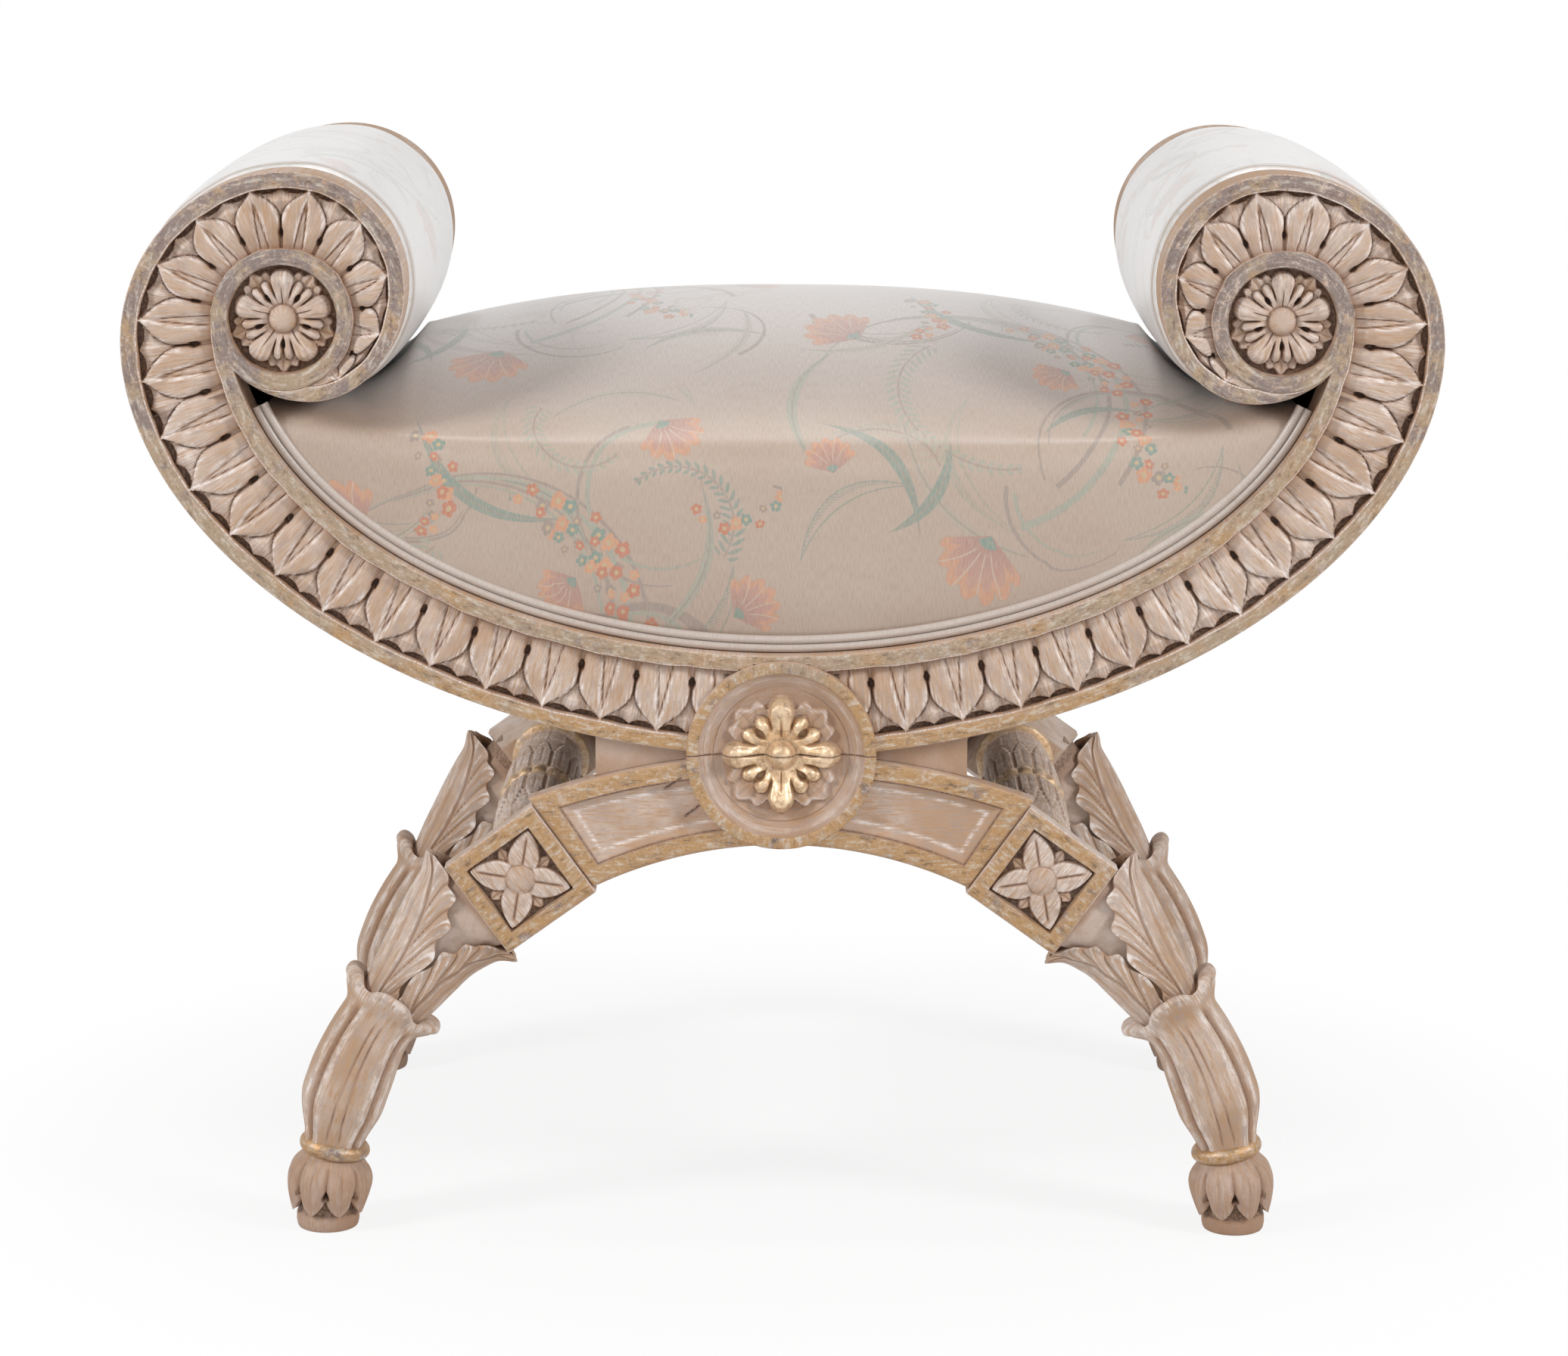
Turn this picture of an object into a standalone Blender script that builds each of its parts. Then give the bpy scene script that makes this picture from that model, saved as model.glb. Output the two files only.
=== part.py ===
"""Upholstered bench on crossed arch legs, with scrolled ends and carved wooden frames.

Metres, +Z up, +X along the bench, front face towards -Y. The origin lies on the floor
under the middle of the bench. Every outline lies in the X-Z plane and is extruded along Y.
"""
import math

import bmesh
import bpy
import numpy as np
from mathutils import Matrix, Vector

# Fits between pieces
GAP = 0.0003                 # clearance between pieces that touch
OVERRUN = 0.002              # how far a cutter runs past the face that it cuts

# Depth of the bench
FRAME_SPREAD = 0.396         # front face of the front frame to rear face of the rear frame
RAIL_THICK = 0.036           # boat rails and scroll heads, front to back
ARCH_THICK = 0.050           # arches and legs, front to back
BLOCK_PROUD = 0.003          # leg blocks stand this far out of the arch faces
MEDALLION_PROUD = 0.004      # medallions stand this far out of the frame faces

# Outer edge of the boat-shaped frame: a superellipse up to its widest point
BOAT_HALF_WIDTH = 0.381
BOAT_DROP = 0.240            # lowest point below the widest one
BOAT_FULLNESS = 1.91

# Scroll: the outer edge goes on over the top, down the inner side and back to the apex
SCROLL_RISE = 0.1005         # top above the frame's widest point
SCROLL_SHOULDER = 0.097      # top inwards from the widest point
SCROLL_HALF_WIDTH = 0.067    # top to the innermost point
SCROLL_HALF_HEIGHT = 0.0658  # top down to the innermost point
SCROLL_UNDER = 0.0665        # innermost point down to the bottom
SCROLL_RETURN = 0.0558       # innermost point out to the bottom
APEX_RISE = 0.017            # apex above the bottom

# Inner edge of the frame: a half ellipse
FRAME_WIDTH = 0.0619         # between outer and inner edge at the sides
FRAME_HEIGHT = 0.0597        # and at the lowest point
INNER_MID_RISE = 0.0157      # ellipse's middle above the frame's widest point

# Carved face of the frame
FILLET = 0.0095              # gilt fillet along both edges
BAND_DEPTH = 0.009           # ground of the leaf band below the fillets
EYE_RADIUS = 0.0315
EYE_DEPTH = 0.008
RING_WIDTH = 0.009           # gilt ring round the eye

# Joint between boat rail and scroll head, with its loose tenon
JOINT_DROP = 0.0358          # joint below the frame's widest point
TENON_WIDTH = 0.036
TENON_THICK = 0.010
TENON_LENGTH = 0.036

# Medallion, split by the seam between boat rail and arch
MEDALLION_RADIUS = 0.0557
MEDALLION_RING = 0.0067
DISH_DEPTH = 0.009
DISH_SLOPE = 0.014
SEAM_RISE = 0.001            # seam above the lowest point of the boat rail
SEAM_DOWEL_X = 0.026
DOWEL_RADIUS = 0.005
DOWEL_LENGTH = 0.040

# Arch between the leg blocks
ARCH_RISE = 0.0749           # seam above the middle of the blocks
ARCH_TOP_RADIUS = 0.428
ARCH_UNDER_RADIUS = 0.251
ARCH_WIDTH = 0.054           # height of the arch at its middle
ARCH_BORDER = 0.011
PANEL_DEPTH = 0.005

# Leg: a square block, then a stem on one cubic curve down to the foot
BLOCK_X = 0.1534
BLOCK_Z = 0.2204
BLOCK_SIDE = 0.0637
BLOCK_TILT = math.radians(35.8)
BLOCK_BORDER = 0.0095
BLOCK_RECESS = 0.004
FOOT_X = 0.2726
STEM_HANDLE_TOP = 0.090
STEM_HANDLE_FOOT = 0.090
LEAF_HALF = 0.0355           # half widths of the stem, from the block to the floor
WAIST_HALF = 0.0185
LIP_HALF = 0.0315
THROAT_HALF = 0.0230
SLEEVE_HALF = 0.0255
NECK_HALF = 0.0186
RING_HALF = 0.0216
BULB_HALF = 0.0258
PAD_HALF = 0.0187
STEM_DEPTH_HALF = 0.0265     # the stem is no deeper than this, front to back
STEM_SIDES = 12
STEM_PROFILE = (             # share of the way from block to floor, half width
    (0.04, LEAF_HALF * 0.78), (0.14, LEAF_HALF), (0.21, LEAF_HALF * 0.74), (0.31, LEAF_HALF * 0.62),
    (0.425, WAIST_HALF), (0.445, LIP_HALF), (0.485, LIP_HALF * 0.86), (0.545, THROAT_HALF),
    (0.65, SLEEVE_HALF), (0.735, SLEEVE_HALF * 0.92), (0.79, NECK_HALF), (0.805, RING_HALF),
    (0.832, RING_HALF), (0.845, NECK_HALF), (0.89, BULB_HALF), (0.925, BULB_HALF),
    (0.965, PAD_HALF), (1.0, PAD_HALF))

# Glue wedge in the corner between boat rail and arch
WEDGE_END_X = 0.109
WEDGE_SETBACK = 0.007
WEDGE_THICK = 0.024

# Turned stretcher between front and rear leg blocks
STRETCHER_TENON_RADIUS = 0.010
STRETCHER_TENON = 0.018
STRETCHER_COLLAR = 0.0250
STRETCHER_COVE = 0.0190
STRETCHER_BARREL = 0.0240
STRETCHER_BEAD = 0.0250
TURNED_STEPS = 14

# Roll at each end: a pole between the scrolls and the stuffing round it
POLE_RADIUS = 0.022
POLE_TENON_RADIUS = 0.009
POLE_TENON = 0.012
ROLL_CROWN = 0.006           # stuffing stands this far out of the scroll's edge
ROLL_WELT_RADIUS = 0.003

# Seat carcase between the frames
SEAT_RAIL_INSET = 0.0531     # rail's middle from the frame's inner edge at the sides
SEAT_RAIL_WIDTH = 0.028
SEAT_RAIL_HEIGHT = 0.052
CROSS_RAIL_WIDTH = 0.040
CROSS_RAIL_HEIGHT = 0.034
CROSS_RAIL_LIFT = 0.007      # above the dust cover
DECK_DROP = 0.0985           # top of the webbing deck below the ellipse's middle
DECK_THICK = 0.0037
COVER_THICK = 0.0025
COVER_INSET = 0.003
COVER_DROP = 0.0215          # top of the outside cover below the frame's widest point
DUST_COVER_HALF = 0.140

# Seat upholstery
PANEL_SETBACK = 0.012        # front crescent behind the frame's face
PANEL_THICK = 0.0137
WELT_CORD = 0.005            # each of the two cords of the double welt
CROWN_RISE = 0.0975          # seat's middle, sides and front edge above the deck
SEAT_SIDE_RISE = 0.0755
SEAT_FRONT_RISE = 0.0165
SEAT_FRONT_SWEEP = 0.015     # front edge rises this much from the middle to the corners
SEAT_FULLNESS = 2.4          # how long the dome stays high towards front and back
CROWN_FULLNESS = 2.5         # and towards the rolls
SIDE_FULLNESS = 8            # and at the edges under the rolls
SEAT_TUCK = 0.002            # seat stays this far from the rolls
SEAT_CORNER_RISE = 0.033     # seat's side edge above the deck

# Values that follow from the sizes above
FACE_Y = FRAME_SPREAD / 2
RAIL_BACK_Y = FACE_Y - RAIL_THICK
ARCH_BACK_Y = FACE_Y - ARCH_THICK
LEG_Y = FACE_Y - ARCH_THICK / 2
BLOCK_FACE_Y = FACE_Y + BLOCK_PROUD
BLOCK_BACK_Y = ARCH_BACK_Y - BLOCK_PROUD
PANEL_Y = FACE_Y - PANEL_SETBACK
SEAM_Z = BLOCK_Z + ARCH_RISE
BOAT_WIDE_Z = SEAM_Z - SEAM_RISE + BOAT_DROP
SCROLL_TOP_X = BOAT_HALF_WIDTH - SCROLL_SHOULDER
SCROLL_TOP_Z = BOAT_WIDE_Z + SCROLL_RISE
SCROLL_INNER_X = SCROLL_TOP_X - SCROLL_HALF_WIDTH
SCROLL_INNER_Z = SCROLL_TOP_Z - SCROLL_HALF_HEIGHT
SCROLL_BOTTOM_X = SCROLL_INNER_X + SCROLL_RETURN
SCROLL_BOTTOM_Z = SCROLL_INNER_Z - SCROLL_UNDER
APEX_Z = SCROLL_BOTTOM_Z + APEX_RISE
JOINT_Z = BOAT_WIDE_Z - JOINT_DROP
INNER_HALF_WIDTH = BOAT_HALF_WIDTH - FRAME_WIDTH
INNER_MID_Z = BOAT_WIDE_Z + INNER_MID_RISE
INNER_DROP = INNER_MID_RISE + BOAT_DROP - FRAME_HEIGHT
EYE_X = INNER_HALF_WIDTH - EYE_RADIUS
SEAT_RAIL_X = INNER_HALF_WIDTH - SEAT_RAIL_INSET
DECK_Z = INNER_MID_Z - DECK_DROP
CROWN_Z = DECK_Z + CROWN_RISE
SEAT_SIDE_Z = DECK_Z + SEAT_SIDE_RISE
SEAT_FRONT_Z = DECK_Z + SEAT_FRONT_RISE
WELT_WIDTH = 2 * WELT_CORD

# Finish of each material: base colour, roughness, metallic
FINISHES = {
    "pickled_wood": ((0.55, 0.38, 0.28), 0.62, 0.0),
    "inner_wood": ((0.42, 0.27, 0.16), 0.70, 0.0),
    "silk": ((0.62, 0.56, 0.47), 0.42, 0.0),
    "webbing": ((0.34, 0.25, 0.16), 0.90, 0.0),
    "dust_cloth": ((0.03, 0.03, 0.03), 0.90, 0.0),
}


def clear_scene():
    """Remove every object and make the two collections."""
    for item in list(bpy.data.objects):
        bpy.data.objects.remove(item, do_unlink=True)
    made = []
    for name in ("scroll_end_bench", "cutters"):
        group = bpy.data.collections.new(name)
        bpy.context.scene.collection.children.link(group)
        made.append(group)
    return made


PARTS, CUTTERS = clear_scene()


def finish_material(name, finish):
    """A Principled material of the piece's own."""
    colour, roughness, metallic = FINISHES[finish]
    material = bpy.data.materials.new(name)
    material.use_nodes = True
    shader = material.node_tree.nodes["Principled BSDF"]
    shader.inputs["Base Color"].default_value = (*colour, 1.0)
    shader.inputs["Roughness"].default_value = roughness
    shader.inputs["Metallic"].default_value = metallic
    return material


def place(name, mesh, finish=None):
    """Link a mesh as a part with its finish, or as a cutter where it has none."""
    item = bpy.data.objects.new(name, mesh)
    if finish:
        PARTS.objects.link(item)
        mesh.materials.append(finish_material(name, finish))
    else:
        CUTTERS.objects.link(item)
        item.hide_render = True
        item.display_type = "WIRE"
    return item


def tidy_mesh(name, shape):
    """Weld a bmesh, turn its faces outwards and store it."""
    bmesh.ops.remove_doubles(shape, verts=shape.verts, dist=0.00001)
    bmesh.ops.recalc_face_normals(shape, faces=shape.faces)
    if shape.calc_volume(signed=True) < 0:
        bmesh.ops.reverse_faces(shape, faces=shape.faces)
    mesh = bpy.data.meshes.new(name)
    shape.to_mesh(mesh)
    shape.free()
    return mesh


def slab(name, outline, y_low, y_high, finish=None):
    """Extrude a closed X-Z outline between two Y planes."""
    curve = bpy.data.curves.new(name, "CURVE")
    curve.dimensions = "2D"
    curve.fill_mode = "BOTH"
    curve.extrude = (y_high - y_low) / 2
    spline = curve.splines.new("POLY")
    spline.points.add(len(outline) - 1)
    for point, (x, z) in zip(spline.points, outline):
        point.co = (x, z, 0.0, 1.0)
    spline.use_cyclic_u = True
    return curve_to_mesh(name, curve, (y_low + y_high) / 2, finish)


def curve_to_mesh(name, curve, y, finish):
    """Stand a flat curve up in the X-Z plane at y and make it a closed mesh."""
    flat = bpy.data.objects.new(name + "_curve", curve)
    flat.matrix_world = Matrix.Translation((0, y, 0)) @ Matrix.Rotation(math.pi / 2, 4, "X")
    CUTTERS.objects.link(flat)
    bpy.context.view_layer.update()
    graph = bpy.context.evaluated_depsgraph_get()
    raw = bpy.data.meshes.new_from_object(flat.evaluated_get(graph))
    shape = bmesh.new()
    shape.from_mesh(raw)
    shape.transform(flat.matrix_world)
    bpy.data.objects.remove(flat, do_unlink=True)
    bpy.data.meshes.remove(raw)
    return place(name, tidy_mesh(name, shape), finish)


def box(name, low, high, finish=None, turn=None):
    """A box between two corners, turned about its own middle where turn is given."""
    size = Vector(high) - Vector(low)
    middle = (Vector(high) + Vector(low)) / 2
    matrix = Matrix.Translation(middle) @ (turn or Matrix()) @ Matrix.Diagonal((*size, 1.0))
    shape = bmesh.new()
    bmesh.ops.create_cube(shape, size=1.0, matrix=matrix)
    return place(name, tidy_mesh(name, shape), finish)


def rod(name, start, end, radius, finish=None, end_radius=None, sides=TURNED_STEPS):
    """A capped cylinder or cone between two points."""
    along = Vector(end) - Vector(start)
    turn = Vector((0, 0, 1)).rotation_difference(along).to_matrix().to_4x4()
    matrix = Matrix.Translation((Vector(start) + Vector(end)) / 2) @ turn
    shape = bmesh.new()
    bmesh.ops.create_cone(shape, cap_ends=True, segments=sides, radius1=radius,
                          radius2=end_radius or radius, depth=along.length, matrix=matrix)
    return place(name, tidy_mesh(name, shape), finish)


def turned(name, profile, x, z, finish):
    """Turn a profile of (distance along Y, radius) about the Y axis through x, z."""
    mesh = bpy.data.meshes.new(name)
    points = [(radius, 0.0, -y) for y, radius in profile]
    mesh.from_pydata(points, [(i, i + 1) for i in range(len(points) - 1)], [])
    item = place(name, mesh, finish)
    item.location = (x, 0, z)
    item.rotation_euler = (math.pi / 2, 0, 0)
    screw = item.modifiers.new("turn", "SCREW")
    screw.axis = "Z"
    screw.steps = TURNED_STEPS
    screw.render_steps = TURNED_STEPS
    screw.use_merge_vertices = True
    screw.merge_threshold = 0.00001
    screw.use_smooth_shade = True
    return item


def bore_radius(radius):
    """Corner radius of a faceted bore whose flats clear a turned pin of the given radius."""
    return (radius + GAP) / math.cos(math.pi / TURNED_STEPS)


def loft(name, rings, finish=None):
    """Skin closed rings of equal count, one after another, and cap both ends."""
    shape = bmesh.new()
    rows = [[shape.verts.new(point) for point in ring] for ring in rings]
    count = len(rows[0])
    for low, high in zip(rows, rows[1:]):
        for i in range(count):
            j = (i + 1) % count
            shape.faces.new((low[i], low[j], high[j], high[i]))
    shape.faces.new(rows[0])
    shape.faces.new(rows[-1])
    return place(name, tidy_mesh(name, shape), finish)


def combine(item, other, operation):
    """Cut, join or intersect a part with another mesh, which then counts as a cutter."""
    step = item.modifiers.new(operation.lower(), "BOOLEAN")
    step.operation = operation
    step.solver = "EXACT"
    step.object = other


def ellipse_arc(centre, half_x, half_z, start, end, count):
    """Points on an ellipse; the angle runs from +X through +Z, in degrees."""
    angle = np.radians(np.linspace(start, end, count))
    return np.column_stack((centre[0] + half_x * np.cos(angle), centre[1] + half_z * np.sin(angle)))


def boat_outer(x):
    """Height of the frame's outer edge at a distance x from the middle."""
    share = 1 - (np.abs(x) / BOAT_HALF_WIDTH) ** BOAT_FULLNESS
    return BOAT_WIDE_Z - BOAT_DROP * share ** (1 / BOAT_FULLNESS)


def boat_angle(z):
    """Parameter of the outer edge's superellipse at height z."""
    return math.acos(((BOAT_WIDE_Z - z) / BOAT_DROP) ** (BOAT_FULLNESS / 2))


def boat_arc(start, end, count):
    """Outer edge from parameter 0 at the bottom to a quarter turn at the widest point."""
    angle = np.linspace(start, end, count)
    power = 2 / BOAT_FULLNESS
    x = BOAT_HALF_WIDTH * np.sin(angle) ** power
    z = BOAT_WIDE_Z - BOAT_DROP * np.abs(np.cos(angle)) ** power
    return np.column_stack((x, z))


def inner_angle(z):
    """Parameter of the inner edge's ellipse at height z."""
    return math.acos((INNER_MID_Z - z) / INNER_DROP)


def inner_arc(start, end, count, inset=0.0):
    """Inner edge from parameter 0 at the bottom, moved into the opening by inset."""
    angle = np.linspace(start, end, count)
    x = INNER_HALF_WIDTH * np.sin(angle)
    z = INNER_MID_Z - INNER_DROP * np.cos(angle)
    normal = np.column_stack((np.sin(angle) / INNER_HALF_WIDTH, -np.cos(angle) / INNER_DROP))
    normal /= np.linalg.norm(normal, axis=1)[:, None]
    return np.column_stack((x, z)) - normal * inset


def inner_half(z, inset=0.0):
    """Half width at height z of the frame's opening, drawn in by inset along its edge."""
    arc = inner_arc(0, math.pi / 2, 200, inset)
    return np.interp(z, arc[:, 1], arc[:, 0])


def scroll_quarters(grow=0.0):
    """Outer edge from its widest point over the top and inner side to the bottom."""
    top = ellipse_arc((SCROLL_TOP_X, BOAT_WIDE_Z), BOAT_HALF_WIDTH - SCROLL_TOP_X + grow,
                      SCROLL_TOP_Z - BOAT_WIDE_Z + grow, 0, 90, 9)
    inner = ellipse_arc((SCROLL_TOP_X, SCROLL_INNER_Z), SCROLL_TOP_X - SCROLL_INNER_X + grow,
                        SCROLL_TOP_Z - SCROLL_INNER_Z + grow, 90, 180, 8)
    bottom = ellipse_arc((SCROLL_BOTTOM_X, SCROLL_INNER_Z), SCROLL_BOTTOM_X - SCROLL_INNER_X + grow,
                         SCROLL_INNER_Z - SCROLL_BOTTOM_Z + grow, 180, 270, 8)
    return np.vstack((top, inner[1:], bottom[1:]))


def apex_arc():
    """Last stretch of the outer edge: a circle from the scroll's bottom to the apex."""
    apex_x = inner_half(APEX_Z)
    run = apex_x - SCROLL_BOTTOM_X
    rise = APEX_Z - SCROLL_BOTTOM_Z
    radius = (run * run + rise * rise) / (2 * rise)
    turn = math.degrees(math.asin(run / radius))
    return ellipse_arc((SCROLL_BOTTOM_X, SCROLL_BOTTOM_Z + radius), radius, radius, -90, turn - 90, 6)


def offset(points, distance):
    """Move a polyline to the left of its run by a distance."""
    run = np.gradient(points, axis=0)
    run /= np.linalg.norm(run, axis=1)[:, None]
    return points + distance * np.column_stack((-run[:, 1], run[:, 0]))


def mirrored(points, side):
    """Put a right-hand outline on the side given by 1 or -1."""
    return points * np.array((side, 1.0))


def both_halves(half):
    """Close a right-hand outline that ends on the middle plane with its mirror image."""
    return np.vstack((half, mirrored(half[::-1], -1)[1:]))


def facing(face, near, far):
    """Y range of a piece from the depths of its faces, in front (-1) or at the back (1)."""
    return sorted((face * near, face * far))


def scroll_edge():
    """Outer edge of a scroll head, from the joint to the bottom of the scroll."""
    stem = boat_arc(boat_angle(JOINT_Z + GAP / 2), math.pi / 2, 5)
    return np.vstack((stem[:-1], scroll_quarters()))


def ring_edge():
    """Outer side of the gilt ring round the eye, from the inner fillet to the scroll's bottom."""
    right = INNER_HALF_WIDTH + FILLET - EYE_X
    ring = EYE_RADIUS + RING_WIDTH
    low = INNER_MID_Z - SCROLL_BOTTOM_Z - FILLET - RING_WIDTH / 4
    return np.vstack((ellipse_arc((EYE_X, INNER_MID_Z), right, ring, 0, 90, 8),
                      ellipse_arc((EYE_X, INNER_MID_Z), ring, ring, 90, 180, 8)[1:],
                      ellipse_arc((EYE_X, INNER_MID_Z), ring, low, 180, 262, 7)[1:]))


def tenon_box(face, side, grow):
    """Corners of the loose tenon in a scroll joint, larger by grow for its mortise."""
    middle = (inner_half(JOINT_Z) + BOAT_HALF_WIDTH * math.sin(boat_angle(JOINT_Z))
              ** (2 / BOAT_FULLNESS)) / 2 * side
    y = face * (RAIL_BACK_Y + (RAIL_THICK - BAND_DEPTH) / 2)
    half = Vector((TENON_WIDTH / 2, TENON_THICK / 2, TENON_LENGTH / 2)) + Vector((grow, grow, grow))
    centre = Vector((middle, y, JOINT_Z))
    return centre - half, centre + half


def seam_dowel(name, face, side, grow, finish=None):
    """Dowel across the medallion's seam, or its bore."""
    y = face * (RAIL_BACK_Y + RAIL_THICK / 3)
    half = DOWEL_LENGTH / 2 + grow
    return rod(name, (side * SEAM_DOWEL_X, y, SEAM_Z - half), (side * SEAM_DOWEL_X, y, SEAM_Z + half),
               DOWEL_RADIUS + grow, finish)


def half_disc(radius, upper):
    """Half a medallion, above or below the seam."""
    rise = GAP / 2 if upper else -GAP / 2
    start, end = (0, 180) if upper else (180, 360)
    return ellipse_arc((0, SEAM_Z + rise), radius, radius, start, end, 15)


def dish(name, face):
    """Cutter for the dished ground of a medallion."""
    radius = MEDALLION_RADIUS - MEDALLION_RING
    front = FACE_Y + MEDALLION_PROUD
    run = DISH_SLOPE / DISH_DEPTH * OVERRUN
    return rod(name, (0, face * (front + OVERRUN), SEAM_Z), (0, face * (front - DISH_DEPTH), SEAM_Z),
               radius + run, end_radius=radius - DISH_SLOPE, sides=28)


def make_boat_rail(label, face):
    """Boat-shaped rail with the leaf band sunk in its face and the medallion's upper half."""
    joint = JOINT_Z - GAP / 2
    seam = boat_angle(SEAM_Z + GAP)
    outer = boat_arc(seam, boat_angle(joint), 18)
    inner = inner_arc(0, inner_angle(joint), 22)
    rail = slab(label + "_boat_rail", both_halves(np.vstack((outer, inner[::-1]))),
                *facing(face, RAIL_BACK_Y, FACE_Y), "pickled_wood")
    outer = offset(boat_arc(seam, boat_angle(joint + OVERRUN), 18), FILLET)
    inner = inner_arc(0, inner_angle(joint + OVERRUN), 14, -FILLET)
    combine(rail, slab(label + "_rail_band_cut", both_halves(np.vstack((outer, inner[::-1]))),
                       *facing(face, FACE_Y - BAND_DEPTH, FACE_Y + OVERRUN)), "DIFFERENCE")
    upper = slab(label + "_medallion_upper", half_disc(MEDALLION_RADIUS, True),
                 *facing(face, RAIL_BACK_Y + OVERRUN, FACE_Y + MEDALLION_PROUD))
    combine(rail, upper, "UNION")
    combine(rail, dish(label + "_upper_dish_cut", face), "DIFFERENCE")
    for hand, side in (("left", -1), ("right", 1)):
        mortise = box(f"{label}_{hand}_rail_mortise", *tenon_box(face, side, GAP))
        combine(rail, mortise, "DIFFERENCE")
        combine(rail, seam_dowel(f"{label}_{hand}_rail_bore", face, side, GAP), "DIFFERENCE")


def make_scroll_head(label, hand, face, side):
    """Scroll head with the end of the leaf band, the eye and the pole's mortise."""
    edge = scroll_edge()
    joint = JOINT_Z + GAP / 2
    inner = inner_arc(inner_angle(APEX_Z), inner_angle(joint), 4)
    outline = np.vstack((edge, apex_arc()[1:], inner[1:]))
    name = f"{label}_{hand}_scroll"
    head = slab(name, mirrored(outline, side), *facing(face, RAIL_BACK_Y, FACE_Y), "pickled_wood")
    combine(head, box(name + "_mortise", *tenon_box(face, side, GAP)), "DIFFERENCE")
    band_outer = offset(edge, FILLET)
    band_inner = inner_arc(inner_angle(joint), math.pi / 2, 5, -FILLET)
    start = np.array(((band_inner[0, 0], joint - OVERRUN), (band_outer[0, 0], joint - OVERRUN)))
    band = np.vstack((start[1:], band_outer, ring_edge()[::-1], band_inner[-2::-1], start[:1]))
    combine(head, slab(name + "_band_cut", mirrored(band, side),
                       *facing(face, FACE_Y - BAND_DEPTH, FACE_Y + OVERRUN)), "DIFFERENCE")
    x = side * EYE_X
    combine(head, rod(name + "_eye_cut", (x, face * (FACE_Y - EYE_DEPTH), INNER_MID_Z),
                      (x, face * (FACE_Y + OVERRUN), INNER_MID_Z), EYE_RADIUS, sides=24), "DIFFERENCE")
    combine(head, rod(name + "_pole_bore", (x, face * (RAIL_BACK_Y - OVERRUN), INNER_MID_Z),
                      (x, face * (RAIL_BACK_Y + POLE_TENON + GAP), INNER_MID_Z),
                      bore_radius(POLE_TENON_RADIUS)), "DIFFERENCE")
    box(name + "_tenon", *tenon_box(face, side, 0.0), "inner_wood")


def block_axes():
    """Unit vectors of the right leg block: along the arch outwards, and towards its crown."""
    along = np.array((math.cos(BLOCK_TILT), -math.sin(BLOCK_TILT)))
    return along, np.array((along[1] * -1, along[0]))


def arc_at_block(radius, centre_z):
    """Angle from the vertical at which an arch edge meets the inner side of the block."""
    along, _ = block_axes()
    reach = np.dot(along, (BLOCK_X, BLOCK_Z)) - BLOCK_SIDE / 2 - GAP - along[1] * centre_z
    return math.asin(reach / radius) - math.atan2(along[1], along[0])


def arch_edges(inset=0.0, stop_short=0.0, start=0.0, count=10):
    """Top and under edges of the right half of the arch, drawn in by inset."""
    top = ARCH_TOP_RADIUS - inset
    under = ARCH_UNDER_RADIUS + inset
    top_z = SEAM_Z - GAP / 2 - ARCH_TOP_RADIUS
    under_z = SEAM_Z - GAP / 2 - ARCH_WIDTH - ARCH_UNDER_RADIUS
    edges = []
    for radius, centre_z in ((top, top_z), (under, under_z)):
        first = math.asin(start / radius)
        last = arc_at_block(radius, centre_z) - stop_short / radius
        angle = np.degrees(np.linspace(first, last, count))
        edges.append(ellipse_arc((0, centre_z), radius, radius, 90 - angle[0], 90 - angle[-1], count))
    return edges


def arch_dowel(name, face, side, grow, finish=None):
    """Dowel between the arch's end and the leg block, or its bore."""
    along, _ = block_axes()
    top, under = arch_edges()
    centre = (top[-1] + under[-1]) / 2
    y = face * LEG_Y
    ends = [centre + along * reach for reach in (-DOWEL_LENGTH / 2 - grow, DOWEL_LENGTH / 2 + grow)]
    low, high = ((side * x, y, z) for x, z in ends)
    return rod(name, low, high, DOWEL_RADIUS + grow, finish)


def make_arch(label, face):
    """Arch with recessed panels and the medallion's lower half."""
    top, under = arch_edges()
    outline = both_halves(np.vstack((under, top[::-1])))[:-1]
    arch = slab(label + "_arch", outline, *facing(face, ARCH_BACK_Y, FACE_Y), "pickled_wood")
    lower = slab(label + "_medallion_lower", half_disc(MEDALLION_RADIUS, False),
                 *facing(face, ARCH_BACK_Y + OVERRUN, FACE_Y + MEDALLION_PROUD))
    combine(arch, lower, "UNION")
    combine(arch, dish(label + "_lower_dish_cut", face), "DIFFERENCE")
    top, under = arch_edges(ARCH_BORDER, ARCH_BORDER, MEDALLION_RADIUS + ARCH_BORDER / 2, 7)
    for hand, side in (("left", -1), ("right", 1)):
        panel = slab(f"{label}_{hand}_panel_cut", mirrored(np.vstack((under, top[::-1])), side),
                     *facing(face, FACE_Y - PANEL_DEPTH, FACE_Y + OVERRUN))
        combine(arch, panel, "DIFFERENCE")
        combine(arch, seam_dowel(f"{label}_{hand}_arch_bore", face, side, GAP), "DIFFERENCE")
        combine(arch, arch_dowel(f"{label}_{hand}_arch_end_bore", face, side, GAP), "DIFFERENCE")
        seam_dowel(f"{label}_{hand}_seam_dowel", face, side, 0.0, "inner_wood")
        arch_dowel(f"{label}_{hand}_arch_dowel", face, side, 0.0, "inner_wood")


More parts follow.
